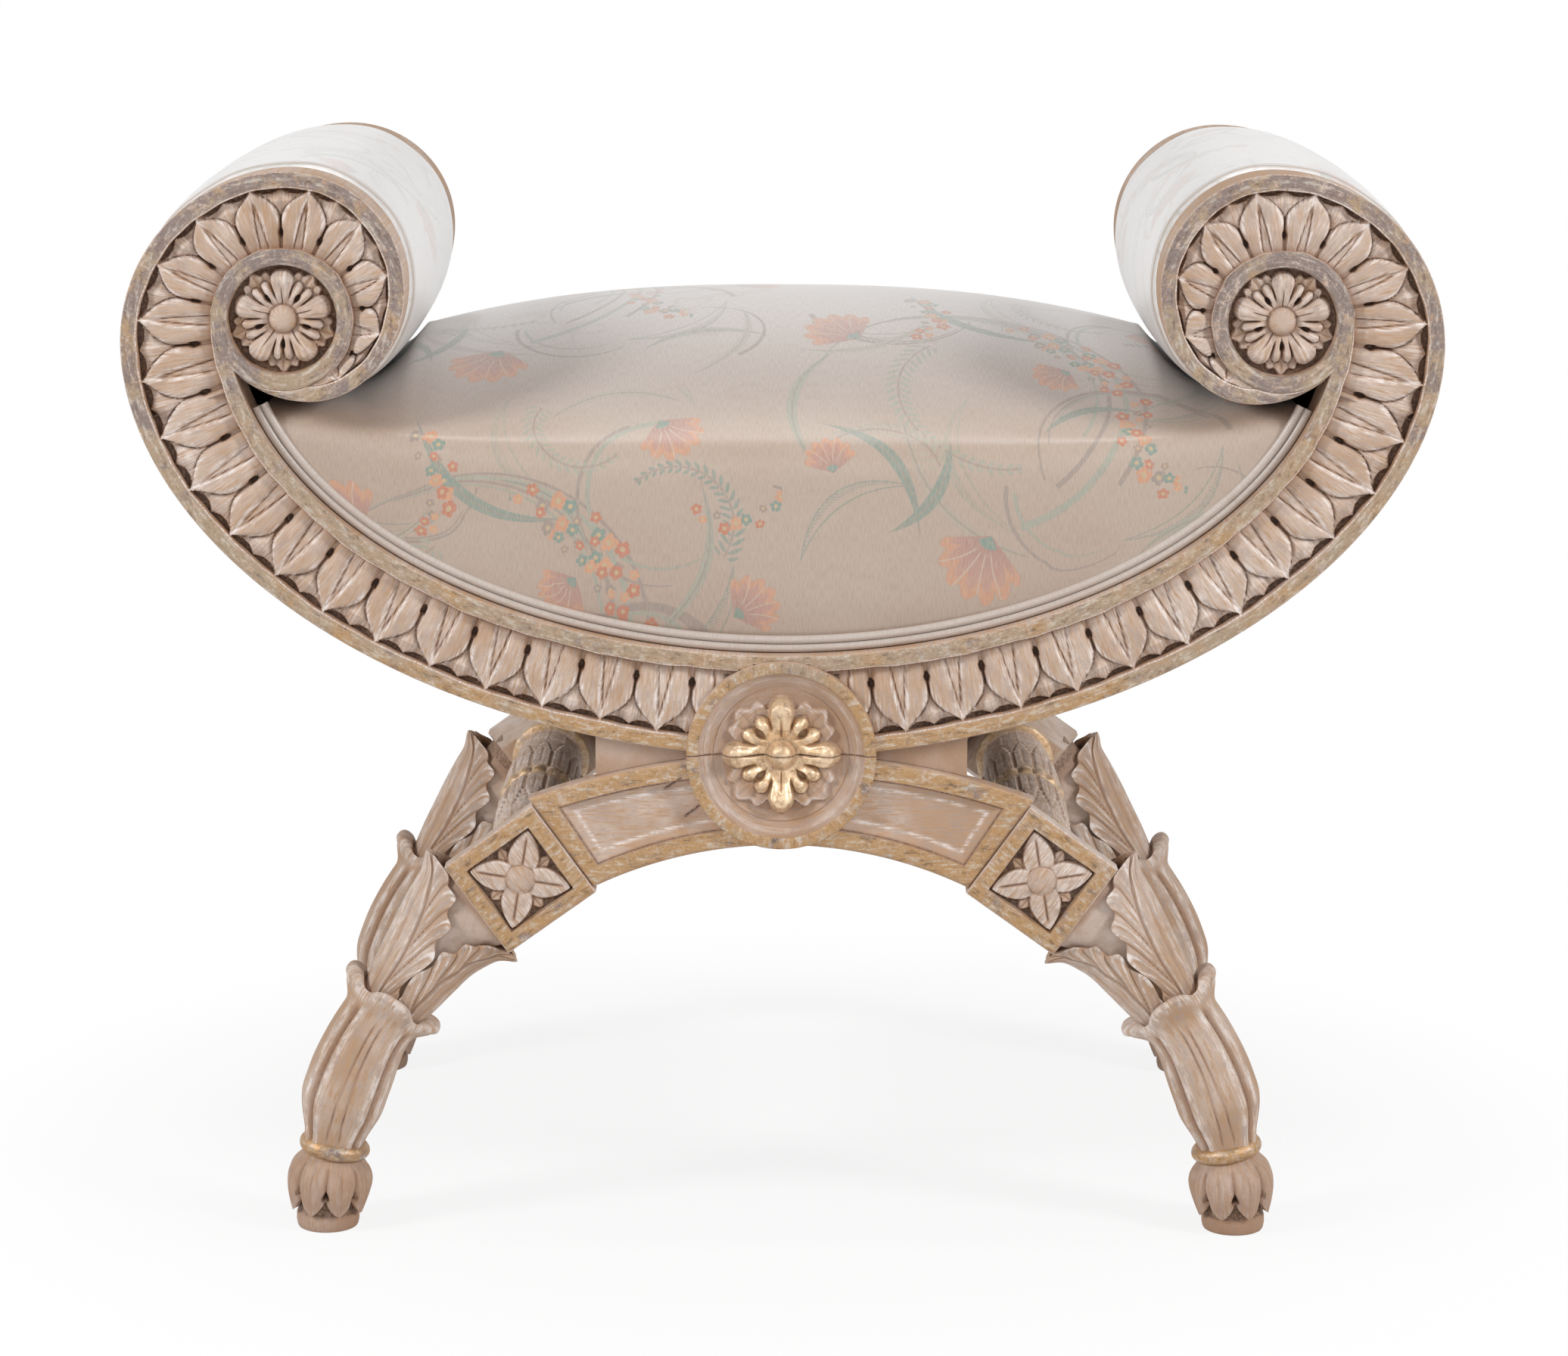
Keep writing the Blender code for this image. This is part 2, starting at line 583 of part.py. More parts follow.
def stem_curve(share):
    """Points and directions of the leg's centre line; share runs from block to floor."""
    along, _ = block_axes()
    knots = np.array(((BLOCK_X, BLOCK_Z), (0, 0), (FOOT_X, STEM_HANDLE_FOOT), (FOOT_X, 0)))
    knots[1] = knots[0] + along * STEM_HANDLE_TOP
    t = np.asarray(share)[:, None]
    s = 1 - t
    point = s ** 3 * knots[0] + 3 * s * s * t * knots[1] + 3 * s * t * t * knots[2] + t ** 3 * knots[3]
    run = s * s * (knots[1] - knots[0]) + 2 * s * t * (knots[2] - knots[1]) + t * t * (knots[3] - knots[2])
    return point, run / np.linalg.norm(run, axis=1)[:, None]


def leg_stem(name, face, side):
    """Stem from inside the block to the floor: leaf, lotus sleeve, ring and bulb foot."""
    point, run = stem_curve([share for share, _ in STEM_PROFILE])
    turn = np.linspace(0, 2 * math.pi, STEM_SIDES, endpoint=False)
    rings = []
    for centre, along, (_, half) in zip(point, run, STEM_PROFILE):
        deep = min(half, STEM_DEPTH_HALF)
        across = np.array((along[1], -along[0]))
        ring = centre + np.outer(half * np.cos(turn), across)
        y = face * LEG_Y + deep * np.sin(turn)
        rings.append(np.column_stack((side * ring[:, 0], y, ring[:, 1])))
    return loft(name, rings)


def block_box(name, face, side, shrink, y_near, y_far, finish=None):
    """A square in the block's plane, shrunk on all sides, between two depths."""
    half = BLOCK_SIDE / 2 - shrink
    low, high = facing(face, y_near, y_far)
    turn = Matrix.Rotation(side * BLOCK_TILT, 4, "Y")
    return box(name, (side * BLOCK_X - half, low, BLOCK_Z - half),
               (side * BLOCK_X + half, high, BLOCK_Z + half), finish, turn)


def make_leg(label, hand, face, side):
    """Leg: block with a recessed square on its outer face, and the carved stem."""
    name = f"{label}_{hand}_leg"
    leg = block_box(name, face, side, 0.0, BLOCK_BACK_Y, BLOCK_FACE_Y, "pickled_wood")
    combine(leg, leg_stem(name + "_stem", face, side), "UNION")
    combine(leg, block_box(name + "_front_recess", face, side, BLOCK_BORDER,
                           BLOCK_FACE_Y - BLOCK_RECESS, BLOCK_FACE_Y + OVERRUN), "DIFFERENCE")
    x = side * BLOCK_X
    combine(leg, rod(name + "_stretcher_bore", (x, face * (BLOCK_BACK_Y - OVERRUN), BLOCK_Z),
                     (x, face * (BLOCK_BACK_Y + STRETCHER_TENON + GAP), BLOCK_Z),
                     bore_radius(STRETCHER_TENON_RADIUS)), "DIFFERENCE")
    combine(leg, arch_dowel(name + "_bore", face, side, GAP), "DIFFERENCE")


def make_wedge(label, hand, face, side):
    """Glue wedge that fills the corner between the boat rail and the arch."""
    start = MEDALLION_RADIUS + GAP
    x = np.linspace(start, WEDGE_END_X, 7)
    upper = np.column_stack((x, boat_outer(x) - GAP))
    arch_z = SEAM_Z - GAP / 2 - ARCH_TOP_RADIUS + np.sqrt(ARCH_TOP_RADIUS ** 2 - x * x)
    lower = np.column_stack((x, arch_z + GAP))
    front = FACE_Y - WEDGE_SETBACK
    slab(f"{label}_{hand}_wedge", mirrored(np.vstack((lower, upper[::-1])), side),
         *facing(face, front - WEDGE_THICK, front), "inner_wood")


def make_stretcher(hand, side):
    """Turned barrel between the blocks: a collar at each end and a beaded ring round its middle."""
    seat = BLOCK_BACK_Y - GAP
    tip = BLOCK_BACK_Y + STRETCHER_TENON
    half = [(tip, 0.0), (tip, STRETCHER_TENON_RADIUS), (seat, STRETCHER_TENON_RADIUS),
            (seat, STRETCHER_COLLAR), (seat * 0.94, STRETCHER_COLLAR), (seat * 0.92, STRETCHER_COVE),
            (seat * 0.86, STRETCHER_BARREL * 0.87), (seat * 0.66, STRETCHER_BARREL * 0.93),
            (seat * 0.40, STRETCHER_BARREL), (seat * 0.10, STRETCHER_BARREL * 0.98),
            (seat * 0.06, STRETCHER_BARREL * 0.95), (seat * 0.045, STRETCHER_BEAD), (0.0, STRETCHER_BEAD)]
    profile = half + [(-y, radius) for y, radius in half[-2::-1]]
    turned(hand + "_stretcher", profile[::-1], side * BLOCK_X, BLOCK_Z, "pickled_wood")


def make_roll(hand, side):
    """Pole between the scrolls and the stuffed roll round it, drawn in at both ends."""
    reach = RAIL_BACK_Y + POLE_TENON
    seat = RAIL_BACK_Y - GAP
    half = [(reach, 0.0), (reach, POLE_TENON_RADIUS), (seat, POLE_TENON_RADIUS), (seat, POLE_RADIUS)]
    profile = half + [(-y, radius) for y, radius in half[::-1]]
    turned(hand + "_roll_pole", profile[::-1], side * EYE_X, INNER_MID_Z, "inner_wood")
    welt_room = 2 * ROLL_WELT_RADIUS + GAP
    rings = []
    stations = ((seat, -welt_room), (seat - welt_room - GAP, -welt_room),
                (seat - 2 * welt_room, ROLL_CROWN * 0.3), (seat - 6 * welt_room, ROLL_CROWN * 0.75),
                (seat * 0.42, ROLL_CROWN * 0.95), (0.0, ROLL_CROWN))
    full = list(stations) + [(-y, grow) for y, grow in stations[-2::-1]]
    for y, grow in full:
        quarters = scroll_quarters(grow)
        under = ellipse_arc((SCROLL_BOTTOM_X, BOAT_WIDE_Z), BOAT_HALF_WIDTH - SCROLL_BOTTOM_X + grow,
                            BOAT_WIDE_Z - SCROLL_BOTTOM_Z + grow, -90, 0, 7)
        ring = np.vstack((quarters, under[1:-1]))
        rings.append(np.column_stack((side * ring[:, 0], np.full(len(ring), y), ring[:, 1])))
    pad = loft(hand + "_roll_pad", rings, "silk")
    x = side * EYE_X
    combine(pad, rod(hand + "_roll_bore", (x, -seat - OVERRUN, INNER_MID_Z), (x, seat + OVERRUN, INNER_MID_Z),
                     bore_radius(POLE_RADIUS)), "DIFFERENCE")


def make_roll_welt(label, hand, face, side):
    """Welt cord in the corner between a scroll head and the roll."""
    edge = scroll_quarters(-ROLL_WELT_RADIUS)
    curve = bpy.data.curves.new("welt", "CURVE")
    curve.dimensions = "3D"
    curve.bevel_depth = ROLL_WELT_RADIUS
    curve.bevel_resolution = 1
    curve.use_fill_caps = True
    spline = curve.splines.new("POLY")
    spline.points.add(len(edge) - 1)
    for point, (x, z) in zip(spline.points, mirrored(edge, side)):
        point.co = (x, z, 0.0, 1.0)
    y = face * (RAIL_BACK_Y - GAP - ROLL_WELT_RADIUS)
    curve_to_mesh(f"{label}_{hand}_roll_welt", curve, y, "silk")


def make_seat_welt(label, face):
    """Double welt along the inner fillet: two cords side by side, swept as one section."""
    turn = np.radians(np.linspace(36, 324, 5))
    lobe = WELT_CORD / 2 * np.column_stack((np.cos(turn), np.sin(turn)))
    section = np.vstack((lobe - (WELT_CORD / 2, 0), -lobe + (WELT_CORD / 2, 0)))
    rise = inner_angle(DECK_Z + SEAT_CORNER_RISE)
    path = inner_arc(-rise, rise, 29, WELT_CORD + GAP)
    across = offset(path, 1.0) - path
    rings = []
    for centre, normal in zip(path, across):
        flat = centre + np.outer(section[:, 0], normal)
        rings.append(np.column_stack((flat[:, 0], face * PANEL_Y + section[:, 1], flat[:, 1])))
    loft(label + "_seat_welt", rings, "silk")


def make_crescent(label, face):
    """Upholstered crescent that closes the frame's opening below the seat."""
    inset = WELT_WIDTH + 2 * GAP
    angle = np.linspace(0, math.pi / 2, 200)
    height = inner_arc(0, math.pi / 2, 200, inset)[:, 1]
    corner = np.interp(DECK_Z, height, angle)
    slab(label + "_crescent", inner_arc(-corner, corner, 29, inset),
         *facing(face, PANEL_Y - PANEL_THICK, PANEL_Y), "silk")


def make_carcase():
    """Rails between the frames, the deck, the outside covers and the dust cover."""
    reach = RAIL_BACK_Y - GAP
    deck_under = DECK_Z - DECK_THICK
    for hand, side in (("left", -1), ("right", 1)):
        x = side * SEAT_RAIL_X
        box(hand + "_seat_rail", (x - SEAT_RAIL_WIDTH / 2, -reach, deck_under - GAP - SEAT_RAIL_HEIGHT),
            (x + SEAT_RAIL_WIDTH / 2, reach, deck_under - GAP), "inner_wood")
        cover_strip(hand + "_outside_cover", side)
    low = boat_outer(CROSS_RAIL_WIDTH / 2) + COVER_INSET + COVER_THICK + CROSS_RAIL_LIFT
    box("centre_cross_rail", (-CROSS_RAIL_WIDTH / 2, -reach, low),
        (CROSS_RAIL_WIDTH / 2, reach, low + CROSS_RAIL_HEIGHT), "inner_wood")
    half = SEAT_RAIL_X + SEAT_RAIL_WIDTH / 2
    box("seat_deck", (-half, -reach, deck_under), (half, reach, DECK_Z), "webbing")
    x = np.linspace(-DUST_COVER_HALF, DUST_COVER_HALF, 15)
    under = np.column_stack((x, boat_outer(x) + COVER_INSET))
    slab("dust_cover", np.vstack((under, (under + (0, COVER_THICK))[::-1])), -reach, reach, "dust_cloth")


def cover_strip(name, side):
    """Cloth stretched round the outside of the boat, between the two frames."""
    start_x = DUST_COVER_HALF + GAP
    start = boat_angle(float(boat_outer(start_x)))
    edge = boat_arc(start, boat_angle(BOAT_WIDE_Z - COVER_DROP), 14)
    outline = np.vstack((offset(edge, COVER_INSET), offset(edge, COVER_INSET + COVER_THICK)[::-1]))
    outline[:, 0] = np.maximum(outline[:, 0], start_x)
    reach = RAIL_BACK_Y - GAP
    slab(name, mirrored(outline, side), -reach, reach, "silk")


def seat_top(x):
    """Height of the seat across its middle: a dome that tucks in under the rolls."""
    x = np.abs(x)
    shoulder = SCROLL_INNER_X - ROLL_CROWN - SEAT_TUCK
    dome = CROWN_Z - (CROWN_Z - SEAT_SIDE_Z) * (x / shoulder) ** CROWN_FULLNESS
    room = ROLL_CROWN + SEAT_TUCK
    across = np.clip((SCROLL_BOTTOM_X - x) / (SCROLL_BOTTOM_X - SCROLL_INNER_X + room), 0.0, 1.0)
    drop = (SCROLL_INNER_Z - SCROLL_BOTTOM_Z + room) * np.sqrt(1 - across ** 2)
    return np.minimum(dome, SCROLL_INNER_Z - drop)


def make_seat_pad():
    """Domed seat pad: rounded at front and back, tucked in under the rolls, flat below."""
    inset = WELT_WIDTH + 3 * GAP
    corner_z = DECK_Z + SEAT_CORNER_RISE
    top_half = inner_half(corner_z, inset)
    base_half = inner_half(DECK_Z, inset)
    shape = bmesh.new()
    bmesh.ops.create_grid(shape, x_segments=20, y_segments=12, size=1.0)
    grid = np.array([vert.co[:] for vert in shape.verts])
    across = np.sin(grid[:, 0] * math.pi / 2)
    deep = np.sin(grid[:, 1] * math.pi / 2)
    side = corner_z + (CROWN_Z - DECK_Z) * (1 - across ** SIDE_FULLNESS)
    crown = np.minimum(seat_top(across * top_half), side)
    edge = np.minimum(SEAT_FRONT_Z + SEAT_FRONT_SWEEP * np.abs(across) ** 3, crown)
    z = edge + (crown - edge) * (1 - np.abs(deep) ** SEAT_FULLNESS)
    level = np.minimum(z, corner_z)
    x = across * inner_half(level, inset)
    for vert, point in zip(shape.verts, np.column_stack((x, deep * PANEL_Y, z))):
        vert.co = point
    made = bmesh.ops.extrude_face_region(shape, geom=shape.faces[:])
    for item in made["geom"]:
        if isinstance(item, bmesh.types.BMVert):
            item.co.x *= base_half / top_half
            item.co.z = DECK_Z + GAP
    place("seat_pad", tidy_mesh("seat_pad", shape), "silk")


def build():
    """Make every piece of the bench."""
    for label, face in (("front", -1), ("rear", 1)):
        make_boat_rail(label, face)
        make_arch(label, face)
        make_crescent(label, face)
        make_seat_welt(label, face)
        for hand, side in (("left", -1), ("right", 1)):
            make_scroll_head(label, hand, face, side)
            make_leg(label, hand, face, side)
            make_wedge(label, hand, face, side)
            make_roll_welt(label, hand, face, side)
    for hand, side in (("left", -1), ("right", 1)):
        make_stretcher(hand, side)
        make_roll(hand, side)
    make_carcase()
    make_seat_pad()


build()
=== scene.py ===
"""Looks of a scroll-end bench: carved and limed frames with worn gilding, arch legs and silk upholstery.

Metres, +Z up, front towards -Y. Carved pieces are worked out on grids for the right-hand half of the front
frame, in the frame's own X-Z outline and the depth below its face, and then put on their own side and face.
"""
import math

import bmesh
import bpy
import numpy as np
from mathutils import Matrix


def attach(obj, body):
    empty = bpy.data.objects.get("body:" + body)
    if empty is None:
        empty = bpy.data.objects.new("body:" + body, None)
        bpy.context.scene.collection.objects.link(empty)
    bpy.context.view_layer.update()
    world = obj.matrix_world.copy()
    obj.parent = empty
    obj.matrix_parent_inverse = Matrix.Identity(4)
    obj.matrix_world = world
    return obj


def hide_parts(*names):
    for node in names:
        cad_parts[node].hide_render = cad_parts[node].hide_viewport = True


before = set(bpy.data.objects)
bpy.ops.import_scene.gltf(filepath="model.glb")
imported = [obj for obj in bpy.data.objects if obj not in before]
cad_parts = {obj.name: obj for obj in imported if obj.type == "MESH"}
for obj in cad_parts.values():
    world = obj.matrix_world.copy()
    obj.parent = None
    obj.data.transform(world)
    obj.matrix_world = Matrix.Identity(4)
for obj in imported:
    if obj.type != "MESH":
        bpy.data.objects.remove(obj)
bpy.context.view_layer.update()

# Depths of the frames
FACE_Y = 0.198
RAIL_THICK = 0.036
ARCH_THICK = 0.050
LEG_Y = FACE_Y - ARCH_THICK / 2
PANEL_Y = FACE_Y - 0.012

# Outer edge of the frame
BOAT_HALF_WIDTH = 0.381
BOAT_WIDE_Z = 0.5343
BOAT_DROP = 0.240
BOAT_FULLNESS = 1.91
SCROLL_TOP = (0.284, 0.6348)
SCROLL_INNER = (0.217, 0.569)
SCROLL_BOTTOM = (0.2728, 0.5025)
APEX_Z = 0.5195

# Inner edge of the frame, its fillets and the eye
INNER_HALF_WIDTH = 0.3191
INNER_MID_Z = 0.550
INNER_DROP = 0.196
FILLET = 0.0095
EYE_RADIUS = 0.0315
EYE_X = INNER_HALF_WIDTH - EYE_RADIUS
EYE_DEPTH = 0.0105
EYE_FLOWER = 0.0288
EYE_SEPALS = 0.0308
EYE_BOSS = 0.0080
RING_RADIUS = EYE_RADIUS + FILLET
JOINT_Z = 0.4985

# Leaves of the band, evenly spaced between two measured tips
FIRST_TIP = (0.0719, 0.3119)
LAST_TIP = (0.2321, 0.5414)
TIP_STEPS = 19
LEAF_PITCH = 0.034
LEAF_COLUMNS = 40
BAND_ROWS = 44

# Medallion, arch and leg blocks
SEAM_Z = 0.2953
MEDALLION_RADIUS = 0.0557
MEDALLION_RING = 0.0067
MEDALLION_PROUD = 0.004
MEDALLION_BED = 0.013        # how deep frame and arch are sunk below it
MEDALLION_FLOWER = 0.0345
MEDALLION_SEPALS = 0.0365
MEDALLION_BOSS = 0.0086
ARCH_TOP_RADIUS = 0.428
ARCH_UNDER_RADIUS = 0.251
ARCH_WIDTH = 0.054
ARCH_BORDER = 0.011
PANEL_DEPTH = 0.005
BLOCK = (0.1534, 0.2204)
BLOCK_SIDE = 0.0637
BLOCK_TILT = math.radians(35.8)
BLOCK_BORDER = 0.0095
BLOCK_PROUD = 0.003
BLOCK_PETAL = 0.0302
KNOT_CRACKS = (((-0.068, 0.2745), (-0.0575, 0.2825)), ((-0.0565, 0.2575), (-0.048, 0.2640)))
BACK_EASE = (0.013, 0.008)   # depth from which arch and blocks taper, and how far their backs are drawn in
FOOT_X = 0.2726
STEM_HANDLE = 0.090

# Lengths along the leg of sleeve, ring and bulb, and counts of petals and beads
SLEEVE_END = 0.2085
RING_AT = 0.2105
BULB_TOP = 0.2150
BULB_TIP = 0.2495
BULB_PETALS = 8
STRETCHER_PETALS = 12
STRETCHER_BEADS = 16

# Upholstery
ROLL_CROWN = 0.006
WELT_CORD = 0.005
WELT_INSET = 0.0053
ROLL_CORD = 0.003
# Dark seam lines are painted at these distances, partly as shade of the welts.
ROLL_SEAMS = (0.009, 0.013)  # seam lines on the rolls, from their ends
DECK_Z = 0.4515
CORNER_Z = 0.4970
SEAT_TOP_Z = 0.549
SEAT_EDGE_Z = 0.4700
PRESSED_Z = 0.5013           # seat under the rolls
OUTSIDE_END_X = 0.1403       # where the silk outside the boat ends below

HAIR = 0.0003                # clearance kept between pieces that touch
SIDES = (("left", -1), ("right", 1))
FACES = (("front", -1), ("rear", 1))
BLOCK_ALONG = np.array((math.cos(BLOCK_TILT), -math.sin(BLOCK_TILT)))
BLOCK_UP = np.array((math.sin(BLOCK_TILT), math.cos(BLOCK_TILT)))

# Acanthus leaves: outermost line and free edge, as share of the leaf, length along the leg, distance out
OUTER_RIB = ((0, .116, .0195), (.2, .108, .0215), (.4, .095, .0245), (.6, .078, .0285), (.8, .056, .0350),
             (.93, .041, .0392), (1, .0345, .0408))
OUTER_EDGE = ((0, .106, .0000), (.13, .092, .0000), (.27, .0785, -.0010), (.41, .0660, .0000),
              (.55, .0540, .0040), (.68, .0430, .0100), (.79, .0350, .0180), (.90, .0318, .0270),
              (1, .0325, .0350))
INNER_RIB = ((0, .118, -.0205), (.2, .110, -.0225), (.4, .099, -.0245), (.6, .084, -.0262),
             (.8, .064, -.0285), (.93, .048, -.0335), (1, .0415, -.0372))
INNER_EDGE = ((0, .106, -.0010), (.15, .094, -.0006), (.31, .081, -.0014), (.47, .0695, -.0026),
              (.62, .0595, -.0075), (.77, .0500, -.0115), (.90, .0415, -.0215), (1, .0395, -.0310))
OUTER_LOBES = (0.0225, 0.35)   # pitch of the lobes along the leg, and where the first begins
INNER_LOBES = (0.0215, 0.75)

# Colours of wood, gilding, silk and its figure
TAN = (0.45, 0.295, 0.195)
PALE = (0.57, 0.43, 0.34)
OCHRE = (0.46, 0.285, 0.170)
WHITING = (0.84, 0.76, 0.72)
DUST = (0.37, 0.30, 0.275)
# UMBER is partly the wood's own brown and partly painted shade in hollows; the near-black crevice colour
# after it is painted shade.
UMBER = (0.32, 0.175, 0.105)
CREVICE_SHADE = (0.060, 0.032, 0.022)
GOLD = (0.46, 0.275, 0.130)
OLIVE = (0.395, 0.290, 0.200)
GILT_GREEN = (0.33, 0.265, 0.190)
PURPLE = (0.225, 0.175, 0.170)
GILT_LIGHT = (0.60, 0.53, 0.45)
GILT_DARK = (0.13, 0.085, 0.06)
BURNISHED = (0.80, 0.60, 0.40)
SILK = (0.50, 0.405, 0.335)
SILK_WARM = (0.47, 0.365, 0.295)
# The grey and white silk tones below are painted sheen on the satin; the tan seam tone paints seam lines,
# partly as shade.
SHEEN_GREY = (0.47, 0.425, 0.405)
SHEEN_WHITE = (0.80, 0.785, 0.775)
SEAM_SHADE_TAN = (0.36, 0.25, 0.17)
STAIN = (0.45, 0.35, 0.27)
THREAD = (0.90, 0.88, 0.87)
STEM_TAUPE = (0.32, 0.27, 0.24)
LEAF_TINTS = ((0.44, 0.41, 0.34), (0.34, 0.39, 0.32), (0.19, 0.30, 0.26))
LEAF_SHADE = (0.27, 0.29, 0.25)
BLOSSOM_TINTS = ((0.55, 0.19, 0.11), (0.53, 0.29, 0.23), (0.66, 0.33, 0.19))
BLOSSOM_DEEP = (0.42, 0.24, 0.20)
HEART = (0.56, 0.42, 0.24)
OUTLINE = (0.60, 0.48, 0.39)

# Figure of the silk in its repeat, in metres and radians. Stems, fronds and garlands are arcs: centre,
# radius, start and sweep, then a half width, or a pitch and a size. Leaves have a root, a turn, a length,
# a half width and a bend; fans have a root, a turn and a radius.
REPEAT = (0.290, 0.300)
STEMS = (
    ((0.110, 0.145), 0.092, -1.25, 4.1, 0.0011), ((0.106, 0.149), 0.086, -0.90, 3.5, 0.0008),
    ((0.114, 0.140), 0.099, -0.60, 2.7, 0.0008), ((0.104, 0.152), 0.081, -0.50, 2.6, 0.0006),
    ((0.205, 0.105), 0.056, 0.2, 3.3, 0.0010), ((0.205, 0.109), 0.050, 0.5, 2.7, 0.0007),
    ((0.203, 0.112), 0.045, 0.9, 2.0, 0.0006), ((0.065, 0.245), 0.050, 3.4, 2.6, 0.0009),
    ((0.067, 0.243), 0.045, 3.7, 2.0, 0.0006), ((0.222, 0.225), 0.045, 1.6, 3.6, 0.0009),
    ((0.222, 0.221), 0.051, 2.0, 2.8, 0.0007), ((0.170, 0.075), 0.040, 3.0, 2.4, 0.0007),
    ((0.170, 0.079), 0.035, 3.2, 2.0, 0.0006), ((0.245, 0.060), 0.034, 5.3, 2.7, 0.0007),
)
FRONDS = (
    ((0.128, 0.150), 0.060, 2.3, 2.6, 0.0058, 0.0095), ((0.228, 0.205), 0.034, -0.6, 2.9, 0.0052, 0.0080),
    ((0.055, 0.075), 0.040, 0.4, 2.4, 0.0054, 0.0085), ((0.175, 0.270), 0.030, 2.6, 2.8, 0.0050, 0.0078),
)
GARLANDS = (
    ((0.130, 0.150), 0.076, 0.20, 1.35, 0.0078, 0.0060), ((0.132, 0.148), 0.066, 0.10, 1.25, 0.0070, 0.0054),
    ((0.134, 0.149), 0.057, 0.15, 1.05, 0.0064, 0.0046), ((0.240, 0.120), 0.040, 2.2, 2.4, 0.0072, 0.0056),
    ((0.241, 0.119), 0.032, 2.5, 1.9, 0.0064, 0.0048), ((0.060, 0.235), 0.036, 5.2, 2.2, 0.0072, 0.0056),
    ((0.062, 0.232), 0.028, 5.4, 1.8, 0.0064, 0.0046), ((0.262, 0.235), 0.030, 3.8, 2.2, 0.0064, 0.0048),
)
LEAVES = (
    ((0.150, 0.040), 2.3, 0.120, 0.0038, 0.024), ((0.200, 0.135), 1.2, 0.110, 0.0034, -0.026),
    ((0.172, 0.212), 2.5, 0.120, 0.0040, 0.028), ((0.088, 0.228), 3.6, 0.090, 0.0036, 0.018),
    ((0.036, 0.190), 4.6, 0.110, 0.0036, -0.024), ((0.020, 0.120), 5.4, 0.095, 0.0040, 0.018),
    ((0.262, 0.100), 4.4, 0.095, 0.0034, 0.020), ((0.205, 0.036), 0.2, 0.080, 0.0038, 0.016),
    ((0.060, 0.050), 1.0, 0.070, 0.0042, -0.012), ((0.235, 0.285), 3.3, 0.085, 0.0036, -0.018),
    ((0.120, 0.235), 5.6, 0.075, 0.0036, 0.014), ((0.150, 0.110), 0.4, 0.070, 0.0032, 0.014),
)
DRAWN_LEAVES = (
    ((0.146, 0.050), 1.9, 0.105, 0.0056, 0.030), ((0.206, 0.128), 0.8, 0.080, 0.0054, -0.020),
    ((0.166, 0.220), 2.0, 0.085, 0.0056, 0.022), ((0.094, 0.220), 3.1, 0.080, 0.0054, 0.020),
    ((0.026, 0.110), 5.9, 0.085, 0.0054, 0.020), ((0.256, 0.110), 3.9, 0.085, 0.0052, 0.020),
    ((0.240, 0.280), 2.7, 0.080, 0.0052, -0.022), ((0.010, 0.030), 0.6, 0.085, 0.0050, 0.020),
)
FANS = (
    ((0.122, 0.052), 4.3, 0.0400), ((0.046, 0.200), 2.4, 0.0380), ((0.218, 0.272), 5.3, 0.0320),
    ((0.262, 0.150), 0.6, 0.0300), ((0.030, 0.085), 1.8, 0.0240), ((0.170, 0.178), 3.9, 0.0260),
)
STEM_WEIGHT = 1.7            # how much bolder than listed the stems are woven

# Sockets of the figure's node groups
FLAT_SOCKETS = (("U", "Float"), ("V", "Float"), ("Centre U", "Float"), ("Centre V", "Float"))
ARC_SOCKETS = FLAT_SOCKETS + (("Radius", "Float"), ("Start", "Float"), ("Sweep", "Float"))

# Room: softboxes with place, target, width, height and power, then floor and camera
AMBIENT = 0.30
LAMPS = (
    ("left_key", (-1.87, -1.27, 1.58), (0.0, -0.1, 0.42), 0.50, 0.70, 30.0),
    ("right_key", (1.87, -1.27, 1.58), (0.0, -0.1, 0.42), 0.50, 0.70, 30.0),
    ("overhead", (0.0, -0.13, 2.2), (0.0, -0.15, 0.4), 1.0, 0.13, 4.8),
    ("front", (0.0, -3.4, 1.5), (0.0, 0.0, 0.4), 2.6, 1.6, 10.0),
)
FLOOR_HALF = 8
FLOOR_GREY = 0.87
FLOOR_GLOW = (0.25, 0.60, 0.84, 1.0)   # between two distances from the middle, the share of plain white
LENS = 103.70
SENSOR = 36.0
CAMERA_PLACE = (0.0074, -2.782, 0.848)
CAMERA_TURN = 0.0023
CAMERA_TILT = math.radians(78.907)
CAMERA_ROLL = 0.0025


def smooth(low, high, value):
    """Smooth step from 0 at low to 1 at high."""
    t = np.clip((value - low) / (high - low), 0.0, 1.0)
    return t * t * (3 - 2 * t)


def ridge(value, width):
    """Bell curve of value about zero."""
    return np.exp(-(value / width) ** 2)


def curve(value, *knots):
    """Smooth curve through (place, height) knots, read at value."""
    place, height = np.array(knots, float).T
    slope = np.gradient(height, place)
    k = np.clip(np.searchsorted(place, value, side="right") - 1, 0, len(place) - 2)
    gap = place[k + 1] - place[k]
    t = np.clip((value - place[k]) / gap, 0.0, 1.0)
    return ((1 + 2 * t) * (1 - t) ** 2 * height[k] + t * (1 - t) ** 2 * gap * slope[k]
            + t * t * (3 - 2 * t) * height[k + 1] + t * t * (t - 1) * gap * slope[k + 1])


def arc(centre, half_x, half_z, start, end, count):
    """Points on an ellipse; the angle runs from +X through +Z, in degrees."""
    angle = np.radians(np.linspace(start, end, count))
    return np.column_stack((centre[0] + half_x * np.cos(angle), centre[1] + half_z * np.sin(angle)))


def arc_length(points):
    """Distance along a polyline at each of its points."""
    return np.concatenate(([0.0], np.cumsum(np.linalg.norm(np.diff(points, axis=0), axis=1))))


def side_normal(points):
    """Unit normals to the right of a polyline's run."""
    run = np.gradient(points, axis=0)
    run /= np.linalg.norm(run, axis=1)[:, None]
    return np.column_stack((run[:, 1], -run[:, 0]))


# Meshes from grids

